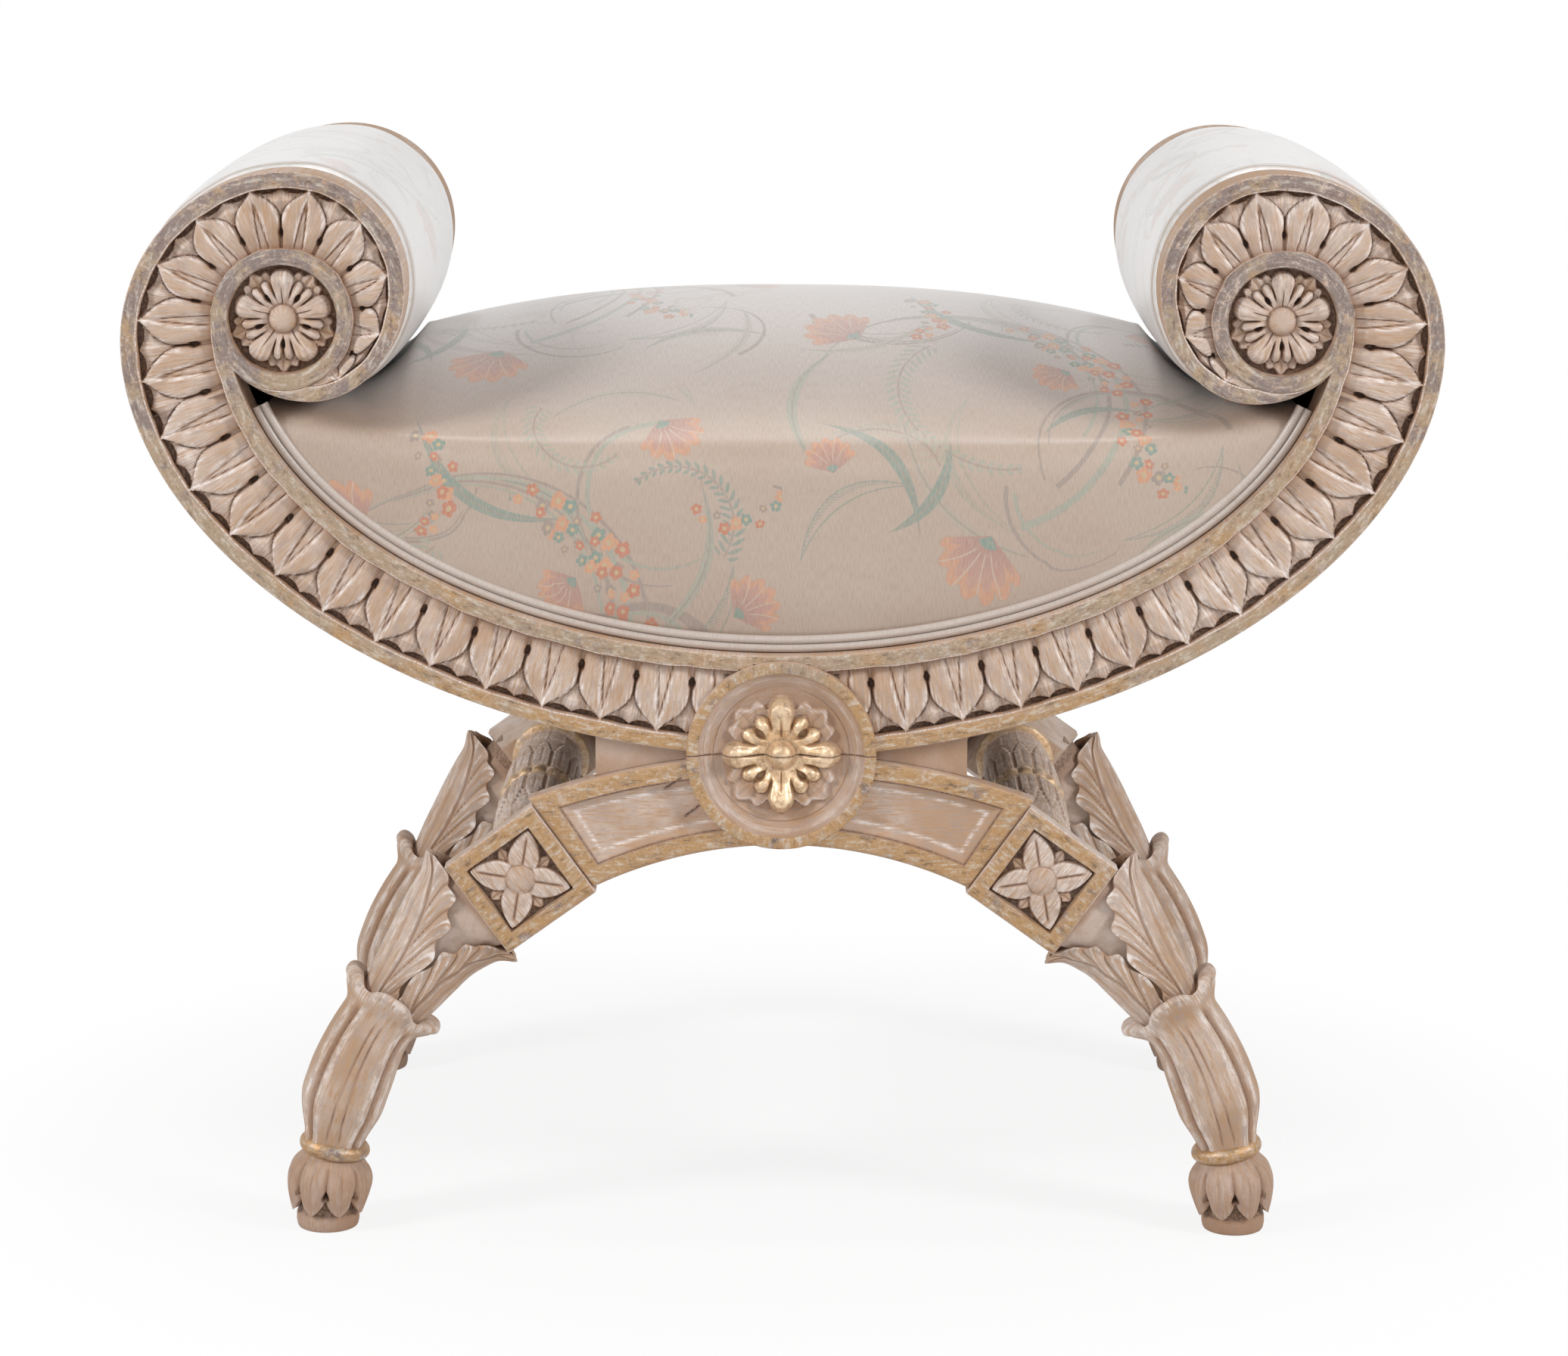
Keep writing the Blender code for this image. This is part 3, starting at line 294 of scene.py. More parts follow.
def patch(points, tone=None, uv=None, wrap=(False, False)):
    """A grid of points with its carving tones (gilt, hollow, proud, burnish) and flat coordinates. The
    hollow tone is umber and painted shade; on silk the tones are painted white sheen, painted grey sheen and
    seam lines, partly painted shade.
    """
    points = np.asarray(points, float)
    full = np.zeros(points.shape[:2] + (4,))
    if tone is not None:
        full[..., :tone.shape[-1]] = tone
    if uv is None:
        uv = np.zeros(points.shape[:2] + (2,))
    return {"points": points, "tone": full, "uv": uv, "wrap": wrap}


def capped(points, tone, uv=None):
    """A tube of closed rows whose two ends are drawn together at the middle of the last rows."""
    ends = points[[0, -1]].mean(axis=1, keepdims=True) + np.zeros_like(points[[0, -1]])
    rows = np.concatenate((ends[:1], points, ends[1:]))
    full = np.concatenate((tone[:1], tone, tone[-1:]))
    flat = None if uv is None else np.concatenate((uv[:1], uv, uv[-1:]))
    return patch(rows, full, flat, (False, True))


def grid_faces(rows, columns, wrap, first):
    """Corners of a grid's quads, counted row by row from a first index."""
    index = first + np.arange(rows * columns).reshape(rows, columns)
    if wrap[0]:
        index = np.vstack((index, index[:1]))
    if wrap[1]:
        index = np.hstack((index, index[:, :1]))
    return np.stack((index[:-1, :-1], index[1:, :-1], index[1:, 1:], index[:-1, 1:]), -1).reshape(-1, 4)


def piece(name, patches, material, slot, *nodes, crease=38.0):
    """One object from several grids: welded, turned outwards and smooth but for creases."""
    faces, first = [], 0
    for part in patches:
        rows, columns = part["points"].shape[:2]
        faces.append(grid_faces(rows, columns, part["wrap"], first))
        first += rows * columns
    points = np.concatenate([part["points"].reshape(-1, 3) for part in patches])
    tone = np.concatenate([part["tone"].reshape(-1, 4) for part in patches])
    flat = np.concatenate([part["uv"].reshape(-1, 2) for part in patches])
    faces = np.concatenate(faces)
    mesh = bpy.data.meshes.new(name)
    mesh.vertices.add(len(points))
    mesh.vertices.foreach_set("co", points.ravel())
    mesh.loops.add(faces.size)
    mesh.loops.foreach_set("vertex_index", faces.ravel())
    mesh.polygons.add(len(faces))
    mesh.polygons.foreach_set("loop_start", np.arange(0, faces.size, 4))
    mesh.update(calc_edges=True)
    carving = mesh.attributes.new("carving", "FLOAT_COLOR", "POINT")
    carving.data.foreach_set("color", np.clip(tone, 0, 1).ravel())
    cloth = mesh.uv_layers.new(name="cloth")
    cloth.data.foreach_set("uv", flat[faces.ravel()].ravel())
    shape = bmesh.new()
    shape.from_mesh(mesh)
    bmesh.ops.remove_doubles(shape, verts=shape.verts, dist=0.000004)
    bmesh.ops.dissolve_degenerate(shape, edges=shape.edges, dist=0.000002)
    bmesh.ops.recalc_face_normals(shape, faces=shape.faces)
    shape.to_mesh(mesh)
    shape.free()
    mesh.shade_smooth()
    mesh.set_sharp_from_angle(angle=math.radians(crease))
    mesh.materials.append(material)
    item = bpy.data.objects.new(name, mesh)
    bpy.context.scene.collection.objects.link(item)
    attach(item, "root")
    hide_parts(*nodes)
    return item


def stand(outline, depth, side, face, front=FACE_Y):
    """Put outline points (x, z) at a depth below the front face, on their side and face."""
    x, z, depth = np.broadcast_arrays(outline[..., 0], outline[..., 1], depth)
    return np.stack((side * x, face * (front - depth), z), -1)


# Course of the carved frame

def boat_edge(angle):
    """Superellipse of the boat, from its lowest point at angle nil to its widest at a quarter turn."""
    power = 2 / BOAT_FULLNESS
    return np.column_stack((BOAT_HALF_WIDTH * np.sin(angle) ** power,
                            BOAT_WIDE_Z - BOAT_DROP * np.abs(np.cos(angle)) ** power))


def outer_edge():
    """Frame's outer edge: superellipse boat, three quarter ellipses of the scroll, circle to the apex."""
    boat = boat_edge(np.linspace(0, math.pi / 2, 900))
    run = inner_half(APEX_Z) - SCROLL_BOTTOM[0]
    rise = APEX_Z - SCROLL_BOTTOM[1]
    radius = (run * run + rise * rise) / (2 * rise)
    turn = math.degrees(math.asin(run / radius))
    last = arc((SCROLL_BOTTOM[0], SCROLL_BOTTOM[1] + radius), radius, radius, -90, turn - 90, 80)
    return np.vstack((boat, scroll_quarters(0.0, 200)[1:], last[1:]))


def scroll_quarters(grow, count):
    """Outer edge from its widest point over the top and inner side to the bottom, grown outwards."""
    top = arc((SCROLL_TOP[0], BOAT_WIDE_Z), BOAT_HALF_WIDTH - SCROLL_TOP[0] + grow,
              SCROLL_TOP[1] - BOAT_WIDE_Z + grow, 0, 90, count)
    inner = arc((SCROLL_TOP[0], SCROLL_INNER[1]), SCROLL_TOP[0] - SCROLL_INNER[0] + grow,
                SCROLL_TOP[1] - SCROLL_INNER[1] + grow, 90, 180, count)
    bottom = arc((SCROLL_BOTTOM[0], SCROLL_INNER[1]), SCROLL_BOTTOM[0] - SCROLL_INNER[0] + grow,
                 SCROLL_INNER[1] - SCROLL_BOTTOM[1] + grow, 180, 270, count)
    return np.vstack((top, inner[1:], bottom[1:]))


def inner_half(z):
    """Half width of the frame's opening at height z."""
    return INNER_HALF_WIDTH * math.sqrt(1 - ((INNER_MID_Z - z) / INNER_DROP) ** 2)


def inner_arc(start, end, count, inset=0.0):
    """Frame's inner edge from parameter 0 at the bottom, moved into the opening by inset."""
    angle = np.linspace(start, end, count)
    point = np.column_stack((INNER_HALF_WIDTH * np.sin(angle), INNER_MID_Z - INNER_DROP * np.cos(angle)))
    normal = np.column_stack((np.sin(angle) / INNER_HALF_WIDTH, -np.cos(angle) / INNER_DROP))
    normal /= np.linalg.norm(normal, axis=1)[:, None]
    return point - normal * inset


def reach(points, normals, edge):
    """Distance from each point along its normal to the nearest crossing of an outline."""
    start = edge[:-1]
    run = np.diff(edge, axis=0)
    away = start[None] - points[:, None]
    cross = normals[:, None, 0] * run[None, :, 1] - normals[:, None, 1] * run[None, :, 0]
    cross = np.where(np.abs(cross) < 1e-12, 1e-12, cross)
    far = (away[..., 0] * run[None, :, 1] - away[..., 1] * run[None, :, 0]) / cross
    share = (away[..., 0] * normals[:, None, 1] - away[..., 1] * normals[:, None, 0]) / cross
    hit = (share >= -1e-6) & (share <= 1 + 1e-6) & (far > 1e-5)
    return np.where(hit, far, np.inf).min(axis=1)


def frame_course():
    """Stations along a half frame, evenly spaced along the leaf tips where they show.

    Each station is a point on the band's inner edge with its outward normal, the width from there to the
    frame's outer edge, how far the inner fillet reaches inwards, and the leaf count at that place.
    """
    boat = inner_arc(0.0, math.pi / 2, 800, -FILLET)
    ring = arc((EYE_X, INNER_MID_Z), RING_RADIUS, RING_RADIUS, 0, 307, 700)
    inner = np.vstack((boat, ring[1:]))
    normal = side_normal(inner)
    normal[0] = (0, -1)
    width = reach(inner, normal, outer_edge())
    on_ring = np.arange(len(inner)) >= len(boat)
    good = np.isfinite(width)
    inner, normal, width, on_ring = inner[good], normal[good], width[good], on_ring[good]
    tips = inner + normal * np.maximum(width - FILLET, 0.0)[:, None]
    run = arc_length(tips)
    first, last = (run[np.linalg.norm(tips - tip, axis=1).argmin()] for tip in (FIRST_TIP, LAST_TIP))
    count = (run - first) / (last - first) * TIP_STEPS
    shown = -1.05
    even = np.linspace(shown, count[-1], int((count[-1] - shown) * LEAF_COLUMNS))
    even = np.concatenate((np.linspace(count[0], shown, 5)[:-1], even))

    def read(values):
        return np.interp(even, count, values)

    place = np.column_stack((read(inner[:, 0]), read(inner[:, 1])))
    out = np.column_stack((read(normal[:, 0]), read(normal[:, 1])))
    out /= np.linalg.norm(out, axis=1)[:, None]
    on_ring = read(on_ring * 1.0) > 0.5
    eye_gap = np.linalg.norm(place - (EYE_X, INNER_MID_Z), axis=1) - RING_RADIUS
    by_ring = (place[:, 0] > EYE_X) & (place[:, 1] > APEX_Z - 0.004)
    lip = np.where(on_ring, 0.0012, np.where(by_ring, np.minimum(FILLET, eye_gap + 0.002), FILLET))
    return {"place": place, "out": out, "width": read(width), "leaf": even, "lip": lip, "on_ring": on_ring}


# Carving

def leaf_band(count, across, strength):
    """Relief of the waterleaf band: depth below the fillets and carving tones.

    count goes up by one from leaf to leaf and across runs from the inner fillet to the outer one. Each leaf
    is bounded by a spade-shaped half width, has two incised lines that close towards its tip, and swells
    between line and edge. A drilled drop parts neighbours near their base. A four-sided pyramid fills the
    corner between two tips, with dark crescents against the outer fillet.
    """
    index = np.round(count)
    jitter = np.random.default_rng(11).normal(0.0, 1.0, (64, 6))
    wobble = jitter[np.clip(index + 4, 0, 63).astype(int)]
    signed = count - index + 0.012 * wobble[..., 0] * across
    away = np.abs(signed)
    half = curve(across, (0, .470), (.20, .472), (.36, .487), (.50, .480), (.60, .445), (.70, .375),
                 (.79, .275), (.87, .165), (.93, .085), (.97, .042), (1, .026))
    half = half * (1 + 0.015 * wobble[..., 3] * smooth(0.5, 0.8, across))
    line = 0.130 * np.clip(1 - across / (0.86 + 0.03 * wobble[..., 1]), 0, 1) ** 0.9
    share = np.clip((away - line) / (half - line), 0, 1)
    swell = np.sin(math.pi * np.clip(share, 0, 1) ** 0.85) ** 0.9
    spine = curve(across, (0, .0064), (.10, .0056), (.28, .0042), (.50, .0030), (.72, .0030), (.90, .0022),
                  (1, .0012))
    leaf = spine - 0.0026 * swell * smooth(1.05, 0.7, across) * (0.45 + 0.55 * smooth(0, .35, across))
    leaf = leaf + 0.0021 * smooth(0.80, 1.0, share) ** 2 + 0.0003 * wobble[..., 2]
    cut = ridge(away - line, 0.016) * smooth(0.0, 0.05, across) * smooth(0.86, 0.66, across)
    leaf = leaf + 0.0013 * cut
    inside = smooth(0.007, -0.007, away - half)

    beside = 0.5 - away
    crescent = 1 - 0.085 * np.sin(math.pi * np.clip(beside / 0.47, 0, 1)) ** 0.8
    facet = np.abs(beside) / 0.36 + np.abs(across - 0.79) / 0.27
    dart = 0.0024 + 0.0040 * np.clip(facet, 0, 1.0)
    hollow_corner = smooth(-0.010, 0.010, across - crescent)
    dart = dart + (0.0095 - dart) * hollow_corner
    undercut = smooth(0.030, 0.008, away - half)
    dart = dart + (0.0074 - dart) * undercut * 0.9
    depth = leaf * inside + dart * (1 - inside)

    drop = smooth(1.15, 0.85, np.hypot(beside / 0.056, (across - 0.255) * 13.0))
    tail = ridge(beside, 0.014) * smooth(0.22, 0.28, across) * smooth(0.60, 0.50, across)
    base = ridge(beside, 0.020) * smooth(0.22, 0.12, across)
    depth = depth + (0.0105 - depth) * drop
    depth = depth + (0.0040 * tail + 0.0006 * base) * (1 - drop)
    depth = depth * strength

    # Painted shade: dark fills the drilled drops and line tails, the incised lines with one side of each
    # darker than the other, the crescents and undercuts, and a painted shadow strip of the inner fillet
    # along the leaf bases.
    line_shade = np.clip(0.42 + 0.22 * wobble[..., 4] * np.sign(signed) + 0.12 * wobble[..., 5], 0.1, 0.8)
    dark = np.maximum.reduce((drop, 0.85 * tail, line_shade * cut * inside, 0.85 * hollow_corner * (1 - inside),
                              0.22 * undercut * (1 - inside), 0.42 * ridge(across, 0.07), 0.2 * base))
    crest = ridge(share - 0.90, 0.10) * smooth(0.30, 0.55, across) + 0.8 * ridge(share - 0.10, 0.09)
    white = inside * np.clip(crest + 0.14 + 0.5 * smooth(0.80, 0.97, across), 0, 1)
    white = white * (1 - dark) + 0.45 * (1 - inside) * (1 - hollow_corner) * (1 - undercut)
    return depth, dark, white


def under_medallion(outline, depth):
    """Depth of a face that is sunk where the medallion lies over it."""
    away = np.hypot(outline[..., 0], outline[..., 1] - SEAM_Z)
    return np.maximum(depth, MEDALLION_BED * (away < MEDALLION_RADIUS - 0.0025))


def frame_grid(course, side, face):
    """Closed section of the frame carried along its course: back, sides, fillets and carved band."""
    width = course["width"][:, None]
    lip = course["lip"][:, None]
    ring = course["on_ring"][:, None]
    band = np.maximum(width - FILLET, 0.0)
    strength = smooth(0.0015, 0.010, band)
    edge = np.minimum(0.0015, (width - band) / 3)
    sunk = np.where(ring, 0.0013, np.where(lip < FILLET - 1e-6, 0.00006, 0.0))
    across = np.linspace(0, 1, BAND_ROWS)[None, :]
    across = across + 0 * width
    depth, dark, white = leaf_band(course["leaf"][:, None] + 0 * across, across, strength)
    nothing = 0 * width

    rows = []

    # The hollow tone given to these rows paints shade along the fillets' edges and at their feet.
    def row(offset, down, gilt=0.0, hollow=0.0, proud=0.0):
        rows.append(np.broadcast_arrays(offset + nothing, down + nothing, gilt + nothing,
                                        hollow + nothing, proud + nothing))

    row(-lip, RAIL_THICK)
    row(-lip, 0.024)
    row(-lip, 0.012)
    row(-lip, 0.0040 + sunk)
    row(-lip, 0.0010 + sunk, 0.35)
    row(-lip + 0.3 * np.minimum(edge, lip), 0.0003 + sunk, 0.6, 0, 0.5)
    row(-lip + np.minimum(edge, lip / 3), sunk, 1.0)
    for share in (0.3, 0.5, 0.7):
        row(-lip * (1 - share), sunk, 1.0)
    row(-np.minimum(0.0013, lip / 3), sunk, 1.0, 0.25)
    row(-np.minimum(0.0004, lip / 4), 0.0003 + sunk, 0.2, 0, 0.9)
    row(nothing, 0.0011 + sunk, 0.1, 0.2)
    base = [np.stack([values[k] for values in rows], -1) for k in range(5)]
    floor = 0.0011 * strength + sunk * (1 - strength)
    carve = [band * across, np.maximum(depth, floor), 0 * across, dark, white]
    rows = []
    row(band, 0.0011 * np.maximum(strength, 0.2), 0.1, 0.3)
    row(band + 0.3 * edge, 0.0003, 0.2, 0, 0.9)
    row(band + edge, 0.0, 1.0, 0.25)
    for share in (0.3, 0.5, 0.7):
        row(band + (width - band) * share, 0.0, 1.0)
    row(width - edge, 0.0, 1.0)
    row(width - 0.3 * edge, 0.0003, 0.6, 0, 0.5)
    row(width, 0.0011, 0.3, 0, 0.4)
    row(width, 0.0045)
    row(width, 0.012)
    row(width, 0.024)
    row(width, RAIL_THICK)
    row((width - lip) / 2, RAIL_THICK)
    top = [np.stack([values[k] for values in rows], -1) for k in range(5)]
    offset, down, gilt, hollow, proud = (
        np.concatenate((a[:, 0, :], b, c[:, 0, :]), axis=1) for a, b, c in zip(base, carve, top))
    leaf = course["leaf"][:, None]
    sway = 0.00030 * (np.sin(2.3 * leaf) + 0.7 * np.sin(5.1 * leaf + 1.0) + 0.5 * np.sin(9.7 * leaf + 2.0))
    swing = 0.00030 * (np.sin(1.9 * leaf + 3.0) + 0.7 * np.sin(4.3 * leaf) + 0.5 * np.sin(11.3 * leaf + 1.0))
    flow = np.stack(np.broadcast_arrays(leaf * LEAF_PITCH, offset), -1)
    offset = offset + (sway * ridge(offset, 0.004) + swing * ridge(offset - band, 0.004)) * strength
    outline = course["place"][:, None, :] + course["out"][:, None, :] * offset[..., None]
    points = stand(outline, under_medallion(outline, down), side, face)
    return points, np.stack((gilt, hollow, proud), -1), flow


def split_course(course):
    """Index of the station at the joint between rail and scroll head."""
    middle = course["place"][:, 1] + course["out"][:, 1] * course["width"] / 2
    return int(np.argmax(middle > JOINT_Z))


def polar_disc(radii, angles, centre, depth, tone, side, face, back, wall):
    """Closed disc: a relief over radius and angle, a side wall and a flat back."""
    x = centre[0] + radii[:, None] * np.cos(angles)[None]
    z = centre[1] + radii[:, None] * np.sin(angles)[None]
    points = stand(np.stack((x, z), -1), depth, side, face)
    rim = np.stack((x[-1], z[-1]), -1)
    inwards = np.array(centre) + (rim - np.array(centre)) * wall
    walls = [stand(inwards, np.full(len(rim), down), side, face) for down in (0.004, back)]
    centre_back = stand(np.array(centre) + 0 * rim, np.full(len(rim), back), side, face)
    points = np.concatenate((points, np.stack(walls + [centre_back])))
    tone = np.concatenate((tone, np.zeros((3,) + tone.shape[1:])))
    return points, tone


def flower(radius, angle, petals, reach_out, turn, split, finger, lobe):
    """Relief of a rosette: height above its ground, hollow and proud tones, and the petal mask.

    Each petal has a broad middle lobe with a groove down its length and two shorter fingers beside it,
    parted by grooves. The middle lobe takes at most a share split of the half petal and has a half width
    lobe; finger is the fingers' length. The petal rises from the middle, is highest at four fifths of its
    length and rolls over at its end.
    """
    sector = 2 * math.pi / petals
    local = (angle - turn + sector / 2) % sector - sector / 2
    off = np.abs(local) / (sector / 2)
    rho = radius / reach_out
    spoon = lobe * (0.78 + 0.34 * smooth(0.40, 0.82, rho))
    split = np.minimum(split, spoon / np.maximum(radius, 0.001) / (sector / 2))
    broad = 1.0 - 0.20 * np.clip(off / split, 0, 1.2) ** 2.8
    middle = (split + 1.0) / 2
    narrow = finger - 0.12 * ((off - middle) / (0.5 * (1 - split))) ** 2
    end = np.where(off < split, broad, np.maximum(narrow, 0.40))
    petal = smooth(0.022, -0.022, rho - end)
    groove = ridge(off - split, 0.050) * smooth(0.40, 0.55, rho)
    vein = ridge(off, 0.040) * smooth(0.27, 0.34, rho) * smooth(0.74, 0.50, rho)
    side = ridge(off - 0.55 * split, 0.05) * smooth(0.45, 0.6, rho) * smooth(0.98, 0.85, rho)
    part = ridge(off - 1.0, 0.060)
    drop = smooth(1.2, 0.75, np.hypot((off - 1.0) / 0.15, (rho - 0.50) / 0.10))
    rise = curve(rho, (0, .30), (.25, .34), (.45, .60), (.65, .86), (.82, 1.0), (.93, .86), (1.0, .55),
                 (1.5, .4))
    lobes = 0.34 * np.cos(math.pi / 2 * np.clip(off / split, 0, 1)) ** 0.8 * (off < split)
    beyond = np.clip((off - split) / (1 - split), 0, 1)
    lobes = lobes + 0.30 * np.sin(math.pi * beyond) ** 0.7 * (off >= split)
    step = 0.16 * smooth(split - 0.05, split + 0.08, off) * smooth(0.45, 0.75, rho)
    height = rise + lobes * smooth(0.28, 0.55, rho) - step
    height = height - 0.44 * groove - 0.24 * vein - 0.05 * side - 0.42 * part * smooth(0.3, 0.5, rho)
    edge = smooth(0.0, 0.16, end - rho)
    height = petal * np.clip(height * (0.62 + 0.38 * edge), 0.12, 1.3) * (1 - 0.92 * drop)
    # Painted shade in the grooves, the partings between petals, the drilled drops and the veins.
    dark = np.maximum.reduce((0.62 * groove * petal, 0.62 * part * petal, drop, 0.60 * vein * petal,
                              0.25 * side * petal))
    white = np.clip(0.25 + 0.75 * ridge(end - rho - 0.06, 0.06) + 0.3 * lobes / 0.2, 0, 1)
    white = petal * white * (1 - dark)
    return height, dark, white, petal


def sepals(radius, angle, petals, reach_out, turn):
    """Broad leaves behind a rosette, one between each two petals: three soft tips and a raised rim."""
    sector = 2 * math.pi / petals
    local = (angle - turn) % sector - sector / 2
    off = np.abs(local) / (sector / 2)
    rho = radius / reach_out
    end = 0.97 - 0.42 * off ** 2 + 0.045 * np.cos(4.4 * math.pi * off)
    mask = smooth(0.03, -0.03, rho - end) * smooth(0.35, 0.5, rho)
    fold = 0.8 * ridge(off, 0.05) + ridge(off - 0.28, 0.06)
    shape = mask * (0.62 + 0.38 * smooth(0.55, 0.95, rho) - 0.25 * fold)
    return shape, 0.9 * mask * ridge(end - rho - 0.03, 0.035), 0.35 * mask * fold


def eye_disc(side, face):
    """Scroll's eye: gilt ring, sunk ground, five-petalled rosette and a flat boss."""
    inner = np.linspace(0, EYE_RADIUS - 0.0006, 62)
    rim = np.concatenate((EYE_RADIUS + np.array((-0.0003, 0.0, 0.0004, 0.0012, 0.003, 0.006)),
                          RING_RADIUS - np.array((0.0008, 0.0002))))
    radii = np.concatenate((inner, rim))
    angles = np.linspace(0, 2 * math.pi, 220, endpoint=False)
    r, a = radii[:, None], angles[None, :]
    petals, dark, white, mask = flower(r, a, 5, EYE_FLOWER, math.pi / 2, 0.50, 0.83, 1.0)
    behind, pale, notch = sepals(r, a, 5, EYE_SEPALS, math.pi / 2)
    height = np.maximum(0.0086 * petals, 0.0046 * behind * (1 - mask))
    boss = 0.0092 * np.sqrt(np.clip(1 - (r / EYE_BOSS) ** 4, 0, 1)) + 0 * a
    height = np.maximum(height, boss)
    depth = EYE_DEPTH - height
    # Painted shade: the bare ground round the petals is darkened, as are the sepals' folds, the grooves and
    # a ring round the boss; the ring's inner wall is painted dark too.
    bare = 0.8 * (1 - mask) * (1 - smooth(0.001, 0.0025, height))
    dark = np.maximum.reduce((dark, bare, notch * (1 - mask)))
    dark = np.maximum(dark * (r > 0.0082), 0.8 * ridge(r - 0.0086, 0.0007) + 0 * a)
    tone = np.stack((0 * dark, dark, 0.55 * np.maximum(white, pale * (1 - mask)) * (r > 0.0082)), -1)
    ring_depth = np.array((0.0040, 0.0009, 0.0002, 0.0, 0.0, 0.0, 0.0, 0.0002))[:, None] + 0 * a
    depth[-8:] = ring_depth
    tone[-8:] = 0.0
    tone[-7:, :, 0] = 1.0
    tone[-8, :, 1] = 0.6
    points, tone = polar_disc(radii, angles, (EYE_X, INNER_MID_Z), depth, tone, side, face, RAIL_THICK,
                              0.985)
    flow = np.zeros(points.shape[:2] + (2,))
    flow[:len(radii)] = np.stack(np.broadcast_arrays(a * 0.02, r), -1)
    return patch(points, tone, flow, (False, True))


def medallion(upper, side, face, back):
    """Half a medallion: gilt ring, dished ground with two fine steps, and a gilt four-petalled flower."""
    ground = MEDALLION_RADIUS - MEDALLION_RING
    inner = np.linspace(0, ground - 0.0008, 84)
    rim = np.array((ground - 0.0003, ground, ground + 0.0005, ground + 0.0015, ground + 0.004,
                    MEDALLION_RADIUS - 0.0010, MEDALLION_RADIUS - 0.0003, MEDALLION_RADIUS))
    radii = np.concatenate((inner, rim))
    start = 0.0 if upper else math.pi
    angles = np.linspace(start, start + math.pi, 150)
    r, a = radii[:, None], angles[None, :]
    dish = curve(r, (0, .0085), (.026, .0085), (.034, .0078), (.0405, .0055), (.0455, .0032), (.049, .0020))
    dish = dish + 0.0006 * smooth(0.0395, 0.0400, r) - 0.0006 * smooth(0.0450, 0.0454, r)
    petals, dark, white, mask = flower(r, a, 4, MEDALLION_FLOWER, math.pi / 2, 0.56, 0.76, 0.0074)
    behind, pale, notch = sepals(r, a, 4, MEDALLION_SEPALS, math.pi / 2)
    height = np.maximum(0.0082 * petals, 0.0040 * behind * (1 - mask))
    boss = 0.0112 * np.sqrt(np.clip(1 - (r / MEDALLION_BOSS) ** 2.6, 0, 1)) + 0 * a
    gilt = np.maximum(mask * (r > 0.002), (r < 0.0090) * 1.0)
    depth = dish - np.maximum(height, boss) - MEDALLION_PROUD
    # Ground tint and painted shade: the ground's hollow tone of 0.26 tints it umber. Beside the flower's low
    # parts it is raised as painted shade, and the grooves, notches, ring round the boss and fine step at
    # 0.0398 are painted shade too.
    near_flower = smooth(0.0375, 0.030, r)
    bare = 0.26 + 0.10 * near_flower * (1 - smooth(0.0008, 0.0025, height))
    dark = np.maximum(dark * 0.8, (1 - mask) * bare)
    dark = np.maximum(dark, 0.8 * notch * (1 - mask))
    dark = np.maximum(dark * (r > 0.0086), 0.8 * ridge(r - 0.0091, 0.0007) + 0 * a)
    dark = np.maximum(dark, 0.5 * ridge(r - 0.0398, 0.0006) + 0 * a)
    white = np.maximum(pale * (1 - mask), 0.5 * ridge(r - 0.0452, 0.0016) + 0 * a)
    tone = np.stack((gilt + 0 * dark, dark, white, gilt + 0 * dark), -1)
    depth[-8:] = np.array((0.0012, 0.0003, 0.0, 0.0, 0.0, 0.0, 0.0003, 0.0012))[:, None] - MEDALLION_PROUD
    tone[-8:] = 0.0
    tone[-7:-1, :, 0] = 1.0
    rise = HAIR / 2 if upper else -HAIR / 2
    points, tone = polar_disc(radii, angles, (0, SEAM_Z + rise), depth, tone, side, face, back, 1.0)
    seam = ridge(points[..., 2] - SEAM_Z, 0.0009)
    tone[..., 1] = np.maximum(tone[..., 1], 0.9 * seam)
    flat = points[:, [0, -1]]
    low = flat.copy()
    low[..., 1] = face * (FACE_Y - back)
    # The cut faces at the seam are painted dark as shade.
    seam_shade = np.tile((0, .8, 0), (len(flat), 2, 1))
    cut = [patch(np.stack((flat[:, k], low[:, k]), 1), seam_shade) for k in (0, 1)]
    flow = np.zeros(points.shape[:2] + (2,))
    flow[:len(radii)] = np.stack(np.broadcast_arrays(r, a * 0.03), -1)
    return [patch(points, tone, flow)] + cut


def make_frames(wood):
    """Rails with their medallion halves, and scroll heads with their eyes."""
    course = frame_course()
    joint = split_course(course)
    for label, face in FACES:
        halves = {}
        for hand, side in SIDES:
            grids = frame_grid(course, side, face)
            halves[hand] = [grid[:joint + 1] for grid in grids]
            head = [capped(*(grid[joint:] for grid in grids)), eye_disc(side, face)]
            name = f"{label}_{hand}_scroll"
            piece(name + "_carved", head, wood, "pickled_wood", name)
        whole = [np.concatenate((left[::-1], right[1:]))
                 for left, right in zip(halves["left"], halves["right"])]
        rail = [capped(*whole)] + medallion(True, 1, face, RAIL_THICK - 0.001)
        piece(label + "_rail_carved", rail, wood, "pickled_wood", label + "_boat_rail")


# Arch

def border_rows(border, slope):
    """Distances from an edge at which a bordered panel is sampled, closest at its steps."""
    near = np.array((0.0, 0.0003, 0.0010, 0.0030, 0.0060))
    step = border + np.array((-0.0010, -0.0003, 0.0, 0.0003, 0.0008))
    inner = border + 0.0008 + slope * np.array((0.12, 0.25, 0.4, 0.55, 0.7, 0.85, 1.0, 1.12))
    return np.concatenate((near, step, inner))


